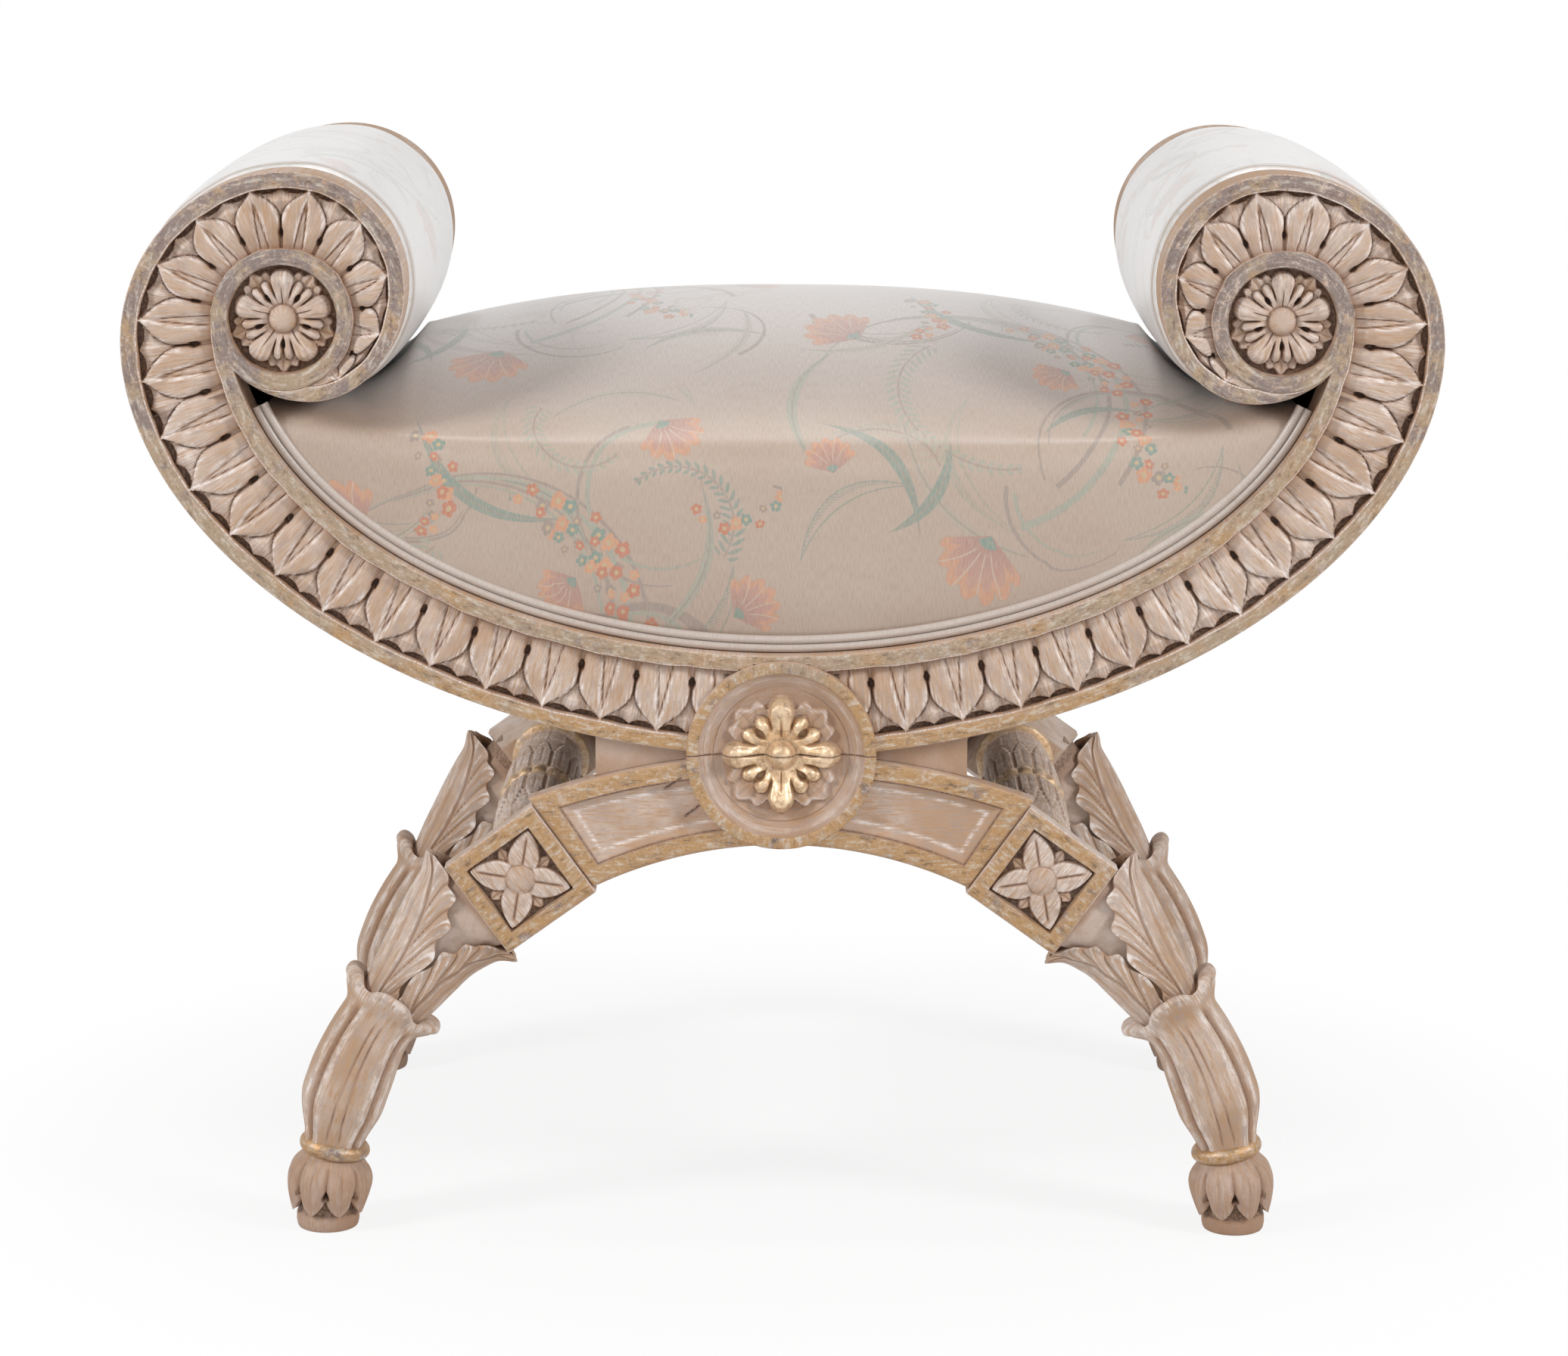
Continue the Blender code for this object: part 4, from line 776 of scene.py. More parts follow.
def panel_depth(away, border, slope, deep):
    """Depth of a sunk panel at a distance from its edge: arris, gilt border, small step and a cove."""
    arris = 0.0010 * np.clip(1 - away / 0.0010, 0, 1) ** 2
    past = away - border
    step = 0.0011 * smooth(-0.0003, 0.0003, past)
    t = np.clip((past - 0.0008) / slope, 0, 1)
    cove = (deep - 0.0011) * (1 - (1 - t) ** 1.7)
    return arris + step + cove


def arch_line(radius, centre_z):
    """Angle from the vertical at which an arch edge meets the block's inner side."""
    reach_out = np.dot(BLOCK_ALONG, BLOCK) - BLOCK_SIDE / 2 - HAIR - BLOCK_ALONG[1] * centre_z
    return math.asin(reach_out / radius) - math.atan2(BLOCK_ALONG[1], BLOCK_ALONG[0])


def make_arches(wood):
    """Arches with sunk panels that run up to the medallion, and the medallion's lower half."""
    top_z = SEAM_Z - HAIR / 2 - ARCH_TOP_RADIUS
    under_z = SEAM_Z - HAIR / 2 - ARCH_WIDTH - ARCH_UNDER_RADIUS
    top_end = arch_line(ARCH_TOP_RADIUS, top_z)
    under_end = arch_line(ARCH_UNDER_RADIUS, under_z)
    slope = 0.0055
    length = (top_end * ARCH_TOP_RADIUS + under_end * ARCH_UNDER_RADIUS) / 2
    from_end = border_rows(ARCH_BORDER, slope)
    half = np.concatenate((1 - from_end / length, np.linspace(1 - from_end[-1] / length, 0, 90)[1:]))
    share = np.concatenate((-half, half[-2::-1]))
    top = np.column_stack((ARCH_TOP_RADIUS * np.sin(share * top_end),
                           top_z + ARCH_TOP_RADIUS * np.cos(share * top_end)))
    under = np.column_stack((ARCH_UNDER_RADIUS * np.sin(share * under_end),
                             under_z + ARCH_UNDER_RADIUS * np.cos(share * under_end)))
    width = np.linalg.norm(top - under, axis=1)[:, None]
    middle = np.linspace(0, 1, 26)[None, 1:-1]
    low = from_end[None, :] / width
    across = np.concatenate((low, low[:, -1:] + (1 - 2 * low[:, -1:]) * middle, 1 - low[:, ::-1]), axis=1)
    away = np.minimum(np.minimum(across, 1 - across) * width, ((1 - np.abs(share)) * length)[:, None])
    depth = panel_depth(away, ARCH_BORDER, slope, PANEL_DEPTH)
    gilt = smooth(-0.0002, 0.0008, away) * smooth(0.0002, -0.0004, away - ARCH_BORDER)
    # Painted shade at the foot of the border's step; a fainter dark line runs along the arris.
    hollow = np.maximum(0.85 * ridge(away - ARCH_BORDER - 0.0006, 0.0008),
                        0.35 * ridge(away - 0.0010, 0.0008))
    proud = 0.9 * ridge(away - ARCH_BORDER - 0.0062, 0.0011) + 0.04 * (away > ARCH_BORDER + 0.006)
    outline = under[:, None] + (top - under)[:, None] * across[..., None]
    for start, end in KNOT_CRACKS:
        run = np.array(end) - np.array(start)
        share_along = np.clip(((outline - np.array(start)) @ run) / (run @ run), 0, 1)
        away_from = np.linalg.norm(outline - np.array(start) - share_along[..., None] * run, axis=-1)
        hollow = np.maximum.reduce((hollow, ridge(away_from, 0.0014),
                                    0.34 * ridge(away_from, 0.010) * (gilt < 0.5)))
    tone = np.stack((gilt, hollow, proud), -1)
    plain = np.zeros((len(share), 3, 3))
    for label, face in FACES:
        front = stand(outline, under_medallion(outline, depth), 1, face)
        sides = []
        for edge in (under, top):
            downs = np.array((0.004, BACK_EASE[0], ARCH_THICK))[None, :]
            inwards = (under + top)[:, None] / 2 - edge[:, None]
            inwards = inwards / np.linalg.norm(inwards, axis=-1, keepdims=True)
            eased = inwards * np.array((0, 0, BACK_EASE[1]))[None, :, None]
            sides.append(stand(edge[:, None] + eased, downs, 1, face))
        loop = np.concatenate((sides[0][:, ::-1], front, sides[1]), axis=1)
        flow = np.where((np.arange(loop.shape[1]) < 3)[None, :, None], loop[..., [0, 2]], loop[..., [2, 0]])
        flow[:, 3:-3] = np.where((away < ARCH_BORDER)[..., None], front[..., [0, 2]], front[..., [2, 0]])
        arch = [capped(loop, np.concatenate((plain, tone, plain), axis=1), flow)]
        arch += medallion(False, 1, face, ARCH_THICK - 0.002)
        piece(label + "_arch_carved", arch, wood, "pickled_wood", label + "_arch")


# Legs

def stem_course():
    """Leg's centre line: a cubic from the block to the floor, as length, points and tangents."""
    knots = np.array((BLOCK, BLOCK + BLOCK_ALONG * STEM_HANDLE, (FOOT_X, STEM_HANDLE), (FOOT_X, 0.0)))
    t = np.linspace(0, 1, 1500)[:, None]
    s = 1 - t
    point = s ** 3 * knots[0] + 3 * s * s * t * knots[1] + 3 * s * t * t * knots[2] + t ** 3 * knots[3]
    run = np.gradient(point, axis=0)
    return arc_length(point), point, run / np.linalg.norm(run, axis=1)[:, None]


STEM_RUN, STEM_POINT, STEM_DIRECTION = stem_course()
STEM_END = STEM_RUN[-1]


def on_stem(along, out, forward, side, face):
    """Points at a length along the leg, a distance to its outer side and one towards its face."""
    x = np.interp(along, STEM_RUN, STEM_POINT[:, 0])
    z = np.interp(along, STEM_RUN, STEM_POINT[:, 1])
    run_x = np.interp(along, STEM_RUN, STEM_DIRECTION[:, 0])
    run_z = np.interp(along, STEM_RUN, STEM_DIRECTION[:, 1])
    return np.stack((side * (x - run_z * out), face * (LEG_Y + forward), z + run_x * out), -1)


def leg_core(side, face):
    """Plain core of the leg from the block down into the lotus: a rounded square that tapers."""
    along = np.linspace(0.020, 0.125, 24)[:, None]
    turn = np.linspace(0, 2 * math.pi, 72, endpoint=False)[None, :]
    half = curve(along, (.020, .0290), (.035, .0275), (.055, .0190), (.080, .0150), (.125, .0130))
    deep = curve(along, (.020, .0225), (.040, .0215), (.070, .0170), (.125, .0130))
    out = half * np.sign(np.cos(turn)) * np.abs(np.cos(turn)) ** 0.55
    forward = deep * np.sign(np.sin(turn)) * np.abs(np.sin(turn)) ** 0.55
    # Painted shade where the core runs under the leaves into the lotus, and up against the block.
    hollow = 0.55 * smooth(0.062, 0.085, along) + 0.75 * smooth(0.036, 0.032, along) + 0 * turn
    tone = np.stack((0 * hollow, hollow, 0.3 * (1 - hollow)), -1)
    return capped(on_stem(along + 0 * turn, out, forward, side, face), tone)


def acanthus(rib, edge, lobes, side, face):
    """One acanthus leaf wrapped round a side of the leg: closed shell of a front, a rim and an inner return.

    rib and edge are knots (share of the leaf's length, length along the leg, distance out) of the leaf's
    outermost line and of its free edge. A point lies on the straight line between them and stands forward
    along a superellipse that is nil at the outermost line. A smooth band runs beside that line up to the
    main vein. Beyond it lobes follow one another at a pitch along the leg: their veins leave the main vein
    almost along the leg and bend out to the free edge, which is scalloped to match, and each lobe rolls over
    the root of the next one.
    """
    pitch, shift = lobes
    s = np.linspace(0, 1, 140)[:, None]
    u = np.linspace(-1, 1, 85)[None, :]
    rib_l, rib_q, edge_l, edge_q = (curve(s, *[(k[0], k[n]) for k in line])
                                    for line in (rib, edge) for n in (1, 2))
    vein_at = 0.46
    broad = np.hypot(edge_l - rib_l, edge_q - rib_q) * (1 - vein_at)

    def beat_of(share, along):
        lean = 2.2 * broad * (1 - (1 - share) ** 1.6)
        phase = (along + lean) / pitch + shift
        return 1 - (phase - np.floor(phase))

    tip_beat = beat_of(1.0, edge_l)
    scallop = 0.5 - 0.5 * np.cos(2 * math.pi * tip_beat ** 0.8)
    fade = smooth(1.0, 0.92, s) * smooth(0.0, 0.06, s)
    slide = np.abs(u) ** 1.35
    slide = slide * (1 + (0.04 - 0.15 * (1 - scallop)) * fade * smooth(0.40, 1.0, slide))
    along = rib_l + (edge_l - rib_l) * slide
    out = rib_q + (edge_q - rib_q) * slide
    way = np.sign(rib_q)
    width_q = np.interp(along, np.flip(rib_l[:, 0]), np.flip(rib_q[:, 0]))
    t = np.clip(np.abs(out / width_q) * np.sign(out * width_q), -1, 1)
    deep = curve(along, (.030, .0252), (.050, .0244), (.075, .0212), (.110, .0168))
    front = np.sign(u)
    forward = deep * (1 - np.abs(t) ** 2.4) ** (1 / 2.4) * front * (1 - 0.55 * smooth(0.86, 1.0, s))
    share = np.clip((slide - vein_at) / (1 - vein_at), 0, 1)
    beat = beat_of(share, along)
    open_leaf = smooth(0.0, 0.14, share)
    vein = ridge(np.minimum(beat, 1 - beat), 0.060) * open_leaf
    stripe = np.cos(2 * math.pi * (2.5 * beat + 0.5 * share)) * open_leaf * smooth(0.05, 0.3, beat)
    roll = beat ** 0.8 * np.sqrt(np.clip((1 - beat) / 0.35, 0, 1))
    main = ridge(slide - vein_at + 0.05, 0.040)
    beside = ridge(slide - vein_at, 0.028)
    band = ridge(slide - 0.20, 0.030)
    lift = 0.0022 * roll * open_leaf - 0.0009 * vein + 0.00008 * stripe + 0.0007 * main - 0.0013 * beside
    lift = lift + 0.0012 * smooth(0.80, 1.0, share) * scallop * fade - 0.0008 * band
    lift = lift * smooth(0.0, 0.05, s) * (0.65 + 0.35 * s)
    tilt = np.abs(t) ** 1.6
    curl = 0.0042 * smooth(0.86, 1.0, s) ** 2
    out = out + way * (lift * tilt + curl)
    forward = forward + front * lift * (1 - 0.5 * tilt)
    thick = 0.0042 - 0.0032 * share ** 2
    back_out = out - way * thick * (0.35 + 0.65 * tilt)
    back_forward = forward - front * thick * (1 - 0.5 * tilt)
    # Painted shade in the lobes' veins, beside the main vein and along the groove by the smooth band.
    hollow = np.maximum.reduce((0.45 * vein, 0.50 * beside, 0.36 * band + 0 * u))
    proud = 0.65 * smooth(0.84, 0.97, share) + 0.60 * smooth(0.3, 0.95, stripe) + 0.45 * main
    proud = proud + 0.30 * smooth(0.20, 0.10, slide) + 0.10
    proud = np.clip(proud, 0, 1) * (1 - hollow)
    tone = np.stack((0 * hollow, hollow, proud), -1)
    inner = np.zeros_like(tone)
    # The leaf's inner return is painted darker as shade.
    inner[..., 1] = 0.3
    across = slide * 0.030 * (1 - open_leaf) + (0.4 + beat * 0.009) * open_leaf
    flow = np.stack((across, along + 0 * u), -1)
    points = np.concatenate((on_stem(along, out, forward, side, face),
                             on_stem(along, back_out, back_forward, side, face)[:, ::-1]), axis=1)
    tone, flow = np.concatenate((tone, inner), axis=1), np.concatenate((flow, flow[:, ::-1]), axis=1)
    return capped(points, tone, flow)


def lotus(side, face):
    """Sleeve of four petals that roll outwards: a path from inside the cup over the lip to the neck."""
    turn = np.linspace(0, 2 * math.pi, 128, endpoint=False)[None, :]
    petal = np.abs(np.cos(2 * turn))
    tip = smooth(0.10, 0.95, petal)
    outer = np.clip(np.cos(turn), 0, 1) ** 2
    inner = np.clip(-np.cos(turn), 0, 1) ** 2
    front = np.sin(turn) ** 2
    top = 0.1045 * front + 0.1063 * outer + 0.1100 * inner + 0.0060 * (1 - tip)
    hook = (0.0282 * front + 0.0346 * outer + 0.0326 * inner) * tip + 0.0235 * (1 - tip)
    throat = 0.0222 * front + 0.0246 * outer + 0.0216 * inner
    belly = 0.0240 * front + 0.0265 * outer + 0.0242 * inner
    way = np.linspace(0, 1, 12)[:, None]
    inside = (top + 0.016 - 0.0125 * way, 0.012 + (throat - 0.0030 - 0.012) * way ** 2)
    sweep = np.linspace(0, 1, 30)[:, None]
    drop = 0.0042 + 0.0024 * tip * (outer + inner)
    fall = top + 1.15 * drop
    sink = curve(sweep, (0, .60), (.18, .16), (.38, .0), (.62, .12), (.80, .46), (.92, .82), (1, 1.15))
    swing = curve(sweep, (0, -.30), (.18, .05), (.38, .45), (.62, .86), (.80, 1.0), (.92, .96), (1, .74))
    lip = (top + drop * sink, throat + (hook - throat) * swing)
    body = np.linspace(0, 1, 58)[1:, None]
    reach_l = fall + (SLEEVE_END - fall) * body
    slim = throat + (belly - throat) * smooth(0.12, 0.55, body)
    slim = slim + (0.0178 - slim) * smooth(0.66, 1.0, body) ** 1.2
    radius = lip[1][-1:] + (slim - lip[1][-1:]) * smooth(0, 0.13, body) ** 0.7
    along = np.concatenate((inside[0] + 0 * turn, lip[0] + 0 * turn, reach_l + 0 * turn))
    size = np.concatenate((inside[1] + 0 * turn, lip[1] + 0 * turn, radius + 0 * turn))
    box_turn = (np.abs(np.cos(turn)) ** 2.7 + np.abs(np.sin(turn)) ** 2.7) ** (-1 / 2.7)
    size = size * (1 + (box_turn - 1) * 0.55)
    share = np.concatenate((np.zeros((len(way) + len(sweep), 1)), body))
    seam = ridge(petal, 0.16) * smooth(0.02, 0.10, share)
    angle_off = (turn + math.pi / 4) % (math.pi / 2) - math.pi / 4
    spread = 0.0016 + 0.0022 * share
    lines = ridge(np.abs(angle_off * size) - spread, 0.0007)
    lines = lines * smooth(0.10, 0.2, share) * smooth(1.0, 0.9, share)
    ribs = ridge(np.abs(angle_off) - 0.60, 0.11) * smooth(0.02, 0.10, share)
    size = size - 0.0024 * seam - 0.0008 * lines + 0.0006 * ribs
    # Painted shade in the seams between petals and in their incised lines; the inside of the cup is painted
    # dark as shade.
    hollow = np.maximum(0.75 * seam, 0.8 * lines)
    in_cup = 16
    hollow[:in_cup] = 0.6
    on_lip = (np.arange(len(share)) >= in_cup)[:, None]
    proud = np.clip(0.7 * ribs + 0.6 * ridge(share, 0.02) * on_lip, 0, 1)
    out = size * np.cos(turn) + 0.0012 * smooth(0.0, 0.3, share)
    forward = np.clip(size * np.sin(turn), -0.030, 0.030)
    tone = np.stack((0 * hollow, hollow, proud * (1 - hollow)), -1)
    flow = np.stack((turn * 0.022 + 0 * along, along), -1)
    return capped(on_stem(along, out, forward, side, face), tone, flow)


def turned_on_stem(rows, tone, side, face, columns):
    """A turned form on the leg's line from rows of (length, radius)."""
    turn = np.linspace(0, 2 * math.pi, columns, endpoint=False)[None, :]
    along, radius = rows[0] + 0 * turn, rows[1]
    flow = np.stack((turn * 0.022 + 0 * along, along), -1)
    return capped(on_stem(along, radius * np.cos(turn), radius * np.sin(turn), side, face), tone, flow)


def foot(side, face):
    """Gilt ring and a bulb of eight down-turned petals with drilled holes, on a round pad."""
    bend = np.linspace(0, 2 * math.pi, 26)[:, None]
    along = RING_AT - 0.0056 * np.cos(bend / 2)
    radius = 0.0148 + 0.0065 * np.sin(bend / 2)
    ring_tone = np.zeros((26, 72, 3))
    ring_tone[4:-4, :, 0] = 1.0
    # Painted shade at the ring's top and bottom, where it meets sleeve and bulb.
    ring_tone[:4, :, 1] = 0.7
    ring_tone[-4:, :, 1] = 0.7
    ring = turned_on_stem((along, radius + np.zeros((1, 72))), ring_tone, side, face, 72)

    turn = np.linspace(0, 2 * math.pi, 160, endpoint=False)[None, :]
    sector = np.abs((turn * BULB_PETALS / (2 * math.pi)) % 1 - 0.5) * 2
    petal = 1 - sector
    t = np.linspace(0, 1, 64)[:, None]
    tip = BULB_TIP - 0.0095 * sector ** 1.6
    along = BULB_TOP + (tip - BULB_TOP) * np.clip(t / 0.86, 0, 1)
    bulge = curve(np.clip(t / 0.86, 0, 1), (0, .0176), (.08, .0196), (.2, .0226), (.42, .0252), (.62, .0254),
                  (.85, .0238), (1, .0222))
    part = ridge(sector - 1.0, 0.16) * smooth(0.05, 0.2, t)
    drill = smooth(1.2, 0.7, np.hypot((sector - 1.0) / 0.24, (t - 0.70) / 0.075))
    rib = ridge(petal - 1.0, 0.10) * smooth(0.1, 0.3, t) * smooth(0.86, 0.7, t)
    radius = bulge - 0.0020 * part - 0.0045 * drill - 0.0006 * rib
    under = np.clip((t - 0.86) / 0.14, 0, 1)
    radius = radius + (0.0165 - radius) * smooth(0, 1, under)
    along = along - 0.003 * under
    # Painted shade in the partings, drilled holes and ribs and under the bulb's rim; the bulb also darkens
    # from 0.28 to 0.42 towards its bottom.
    hollow = np.maximum.reduce((0.7 * part, drill, 0.5 * rib, 0.9 * smooth(0.87, 0.95, t) + 0 * turn))
    hollow = np.maximum(hollow, 0.28 + 0.14 * smooth(0.3, 0.8, t))
    proud = (0.5 * ridge(t - 0.80, 0.06) + 0.3) * (1 - hollow)
    bulb = turned_on_stem((along, radius), np.stack((0 * hollow, hollow, proud), -1), side, face, 160)

    pad_l = np.array((.232, .2500, .2520, .2560, .2590, .2600, STEM_END))[:, None]
    pad_r = np.array((.0170, .0180, .0188, .0188, .0182, .0176, .0168))[:, None]
    pad_tone = np.zeros((7, 72, 3))
    # The pad is painted darker as shade, most where the bulb overhangs it.
    pad_tone[..., 1] = 0.42
    pad_tone[:2, :, 1] = 0.8
    pad = turned_on_stem((pad_l, pad_r + np.zeros((1, 72))), pad_tone, side, face, 72)
    return [ring, bulb, pad]


def block_relief(a, b):
    """Carving in a leg block's frame: four pointed petals to the corners, small tips between and a boss."""
    turned_a = (a + b) / math.sqrt(2)
    turned_b = (b - a) / math.sqrt(2)
    long = np.maximum(np.abs(turned_a), np.abs(turned_b))
    short = np.minimum(np.abs(turned_a), np.abs(turned_b))
    share = np.clip(long / BLOCK_PETAL, 0, 1)
    half = 0.0094 * np.sin(math.pi * np.clip(share, 0, 1) ** 0.85) ** 0.75
    mask = smooth(0.0004, -0.0004, short - half) * (long < BLOCK_PETAL)
    swell = np.sqrt(np.clip(1 - (short / np.maximum(half, 1e-5)) ** 2, 0, 1))
    line = ridge(short, 0.0008) * smooth(0.20, 0.35, share) * smooth(0.92, 0.75, share)
    height = mask * (0.0026 + 0.0018 * swell - 0.0014 * line) * smooth(0.05, 0.3, share)
    diagonal = np.maximum(np.abs(a), np.abs(b))
    beside = np.minimum(np.abs(a), np.abs(b))
    tip_half = 0.0065 * np.clip((0.0215 - diagonal) / 0.010, 0, 1) ** 0.7
    tips = smooth(0.0004, -0.0004, beside - tip_half) * (1 - mask)
    tip_line = ridge(beside, 0.0006)
    height = np.maximum(height, tips * (0.0020 - 0.0008 * tip_line))
    radius = np.hypot(a, b)
    boss = 0.0068 * np.sqrt(np.clip(1 - (radius / 0.0088) ** 3.2, 0, 1))
    height = np.maximum(height, boss)
    on_boss = radius < 0.0090
    # Painted shade on the sunk ground between the petals and tips, in their lines and along their edges, and
    # in a ring round the boss.
    hollow = np.maximum.reduce((0.85 * line * mask, 0.9 * (1 - mask) * (1 - tips), 0.5 * tips * tip_line,
                                0.75 * ridge(short - half, 0.0007) * (long < 0.030)))
    hollow = np.where(on_boss, 0.7 * ridge(radius - 0.0090, 0.0006), hollow)
    proud = np.where(on_boss, 0.25, mask * (0.45 + 0.4 * ridge(short - half + 0.001, 0.0008)))
    return height, hollow, proud * (1 - hollow)


def block(side, face):
    """Leg block: rotated square with a gilt frame on both faces, carved towards the outside."""
    edge = np.array((0.0, 0.0003, 0.0009, 0.003, 0.006, 0.0086, 0.0092, BLOCK_BORDER, BLOCK_BORDER + 0.0003))
    inner = np.linspace(BLOCK_BORDER + 0.0008, BLOCK_SIDE - BLOCK_BORDER - 0.0008, 72)
    line = np.concatenate((edge, inner, BLOCK_SIDE - edge[::-1])) - BLOCK_SIDE / 2
    a, b = np.meshgrid(line, line, indexing="ij")
    away = BLOCK_SIDE / 2 - np.maximum(np.abs(a), np.abs(b))
    outline = np.array(BLOCK) + a[..., None] * BLOCK_ALONG + b[..., None] * BLOCK_UP
    arris = 0.0008 * np.clip(1 - away / 0.0009, 0, 1) ** 2
    sunk = smooth(BLOCK_BORDER - 0.0003, BLOCK_BORDER + 0.0004, away)
    height, hollow, proud = block_relief(a, b)
    gilt = smooth(0.0, 0.0012, away) * (1 - sunk)
    # Dark lines along the outer arris and at the border's step; the line at the step is painted shade.
    lines = 0.35 * ridge(away - 0.0011, 0.0007) + 0.5 * ridge(away - BLOCK_BORDER + 0.0004, 0.0006)
    hollow = np.maximum(hollow * sunk, lines)
    front_depth = arris + sunk * (0.0055 - height)
    tone = np.stack((gilt, hollow, np.where(sunk > 0.5, proud, 0.5 * (away < 0.0006))), -1)
    flow = np.stack((a, b), -1)
    front = stand(outline, front_depth - BLOCK_PROUD, side, face)
    small = np.array(BLOCK) + (outline - np.array(BLOCK)) * (1 - 2 * BACK_EASE[1] / BLOCK_SIDE)
    back = stand(small, ARCH_THICK + BLOCK_PROUD - arris, side, face)
    rim = np.concatenate((front[0, :-1], front[:-1, -1], front[-1, :0:-1], front[:0:-1, 0]))
    rim_back = np.concatenate((back[0, :-1], back[:-1, -1], back[-1, :0:-1], back[:0:-1, 0]))
    share = np.array((0, 0.06, BACK_EASE[0] / ARCH_THICK, 0.96, 1))[:, None, None]
    wall = rim[None] + (rim_back - rim)[None] * share
    wall[1:3, :, 0::2] = rim[None, :, 0::2]
    wall_tone = np.zeros(wall.shape)
    wall_tone[..., 2] = 0.3
    return [patch(front, tone, flow), patch(back, None, flow), patch(wall, wall_tone, None, (False, True))]


def make_legs(wood):
    """Carved legs: block, core, two acanthus leaves, lotus sleeve, ring and bulb foot."""
    for label, face in FACES:
        for hand, side in SIDES:
            parts = block(side, face) + [leg_core(side, face), lotus(side, face)] + foot(side, face)
            parts.append(acanthus(OUTER_RIB, OUTER_EDGE, OUTER_LOBES, side, face))
            parts.append(acanthus(INNER_RIB, INNER_EDGE, INNER_LOBES, side, face))
            name = f"{label}_{hand}_leg"
            piece(name + "_carved", parts, wood, "pickled_wood", name)


def make_stretchers(wood):
    """Turned barrels between the blocks: gilt collars, carved petals on both sides of a beaded gilt ring."""
    end = FACE_Y - ARCH_THICK - BLOCK_PROUD - HAIR
    y = np.concatenate((np.linspace(0, 0.012, 24), np.linspace(0.0125, end * 0.905, 120),
                        np.linspace(end * 0.91, end, 26)))
    share = y / end
    radius = curve(share, (0, .0230), (.035, .0230), (.05, .0222), (.07, .0226), (.14, .0236), (.30, .0240),
                   (.48, .0236), (.64, .0226), (.78, .0216), (.87, .0206), (.905, .0190), (.92, .0200),
                   (.932, .0246), (.95, .0252), (.985, .0252), (1, .0244))
    turn = np.linspace(0, 2 * math.pi, 132, endpoint=False)[None, :]
    radius = radius[:, None] + 0 * turn
    share = share[:, None]
    beads = np.abs(np.cos(STRETCHER_BEADS / 2 * turn))
    bead = beads ** 0.7 * np.sqrt(np.clip(1 - (share / 0.046) ** 2, 0, 1))
    fillet = smooth(0.052, 0.058, share) * smooth(0.086, 0.080, share)
    radius = radius + 0.0030 * bead + 0.0012 * fillet
    off = 1 - np.abs((turn * STRETCHER_PETALS / (2 * math.pi)) % 1 - 0.5) * 2
    half = 0.93 * np.clip((0.60 - share) / 0.26, 0, 1) ** 0.65
    on_leaf = smooth(0.03, -0.03, off - half) * smooth(0.088, 0.10, share)
    rim = ridge(off - half, 0.075) * smooth(0.06, 0.09, share) * smooth(0.66, 0.60, share)
    vein = ridge(off, 0.05) * smooth(0.10, 0.16, share) * smooth(0.48, 0.40, share)
    radius = radius + 0.0008 * on_leaf - 0.0010 * rim - 0.0005 * vein
    gilt = np.maximum(smooth(0.915, 0.93, share), smooth(0.092, 0.086, share)) + 0 * turn
    # Painted shade on the petals' rims and veins, in the necks beside ring and collar, and between the
    # beads.
    gap = ridge(beads, 0.30) * smooth(0.050, 0.044, share)
    hollow = np.maximum.reduce((0.55 * rim, 0.32 * vein, 0.7 * ridge(share - 0.908, 0.010) + 0 * turn,
                                0.6 * ridge(share - 0.090, 0.006) + 0 * turn, 0.8 * gap))
    proud = 0.75 * ridge(off - half + 0.12, 0.07) * on_leaf + 0.45
    tone = np.stack((gilt, hollow, np.clip(proud, 0, 1) * (1 - hollow), 0.35 * gilt), -1)
    full_y = np.concatenate((-y[:0:-1], y))[:, None] + 0 * turn
    radius = np.concatenate((radius[:0:-1], radius))
    tone = np.concatenate((tone[:0:-1], tone))
    flow = np.stack((turn * 0.024 + 0 * full_y, full_y), -1)
    for hand, side in SIDES:
        x, z = side * BLOCK[0] + radius * np.cos(turn), BLOCK[1] + radius * np.sin(turn)
        barrel = capped(np.stack((x, full_y, z), -1), tone, flow)
        piece(hand + "_stretcher_carved", [barrel], wood, "pickled_wood", hand + "_stretcher")


# Upholstery

def smoothed(values, passes, axis):
    """Running three-point mean along one axis, ends kept."""
    values = np.moveaxis(values, axis, 0).copy()
    for _ in range(passes):
        values[1:-1] = (values[:-2] + 2 * values[1:-1] + values[2:]) / 4
    return np.moveaxis(values, 0, axis)


def opening_half(z, inset):
    """Half width at height z of the frame's opening, drawn in by inset along its edge."""
    line = inner_arc(0, math.pi / 2, 400, inset)
    return np.interp(z, line[:, 1], line[:, 0])


def seat_crown(x):
    """Height of the seat's middle line: a dome that tucks in under the rolls."""
    x = np.abs(x)
    shoulder = SCROLL_INNER[0] - ROLL_CROWN - 0.002
    dome = SEAT_TOP_Z - 0.022 * (x / shoulder) ** 2.5
    room = ROLL_CROWN + 0.002
    across = np.clip((SCROLL_BOTTOM[0] - x) / (SCROLL_BOTTOM[0] - SCROLL_INNER[0] + room), 0.0, 1.0)
    hang = SCROLL_INNER[1] - SCROLL_BOTTOM[1] + room
    return np.minimum(dome, SCROLL_INNER[1] - hang * np.sqrt(1 - across ** 2))


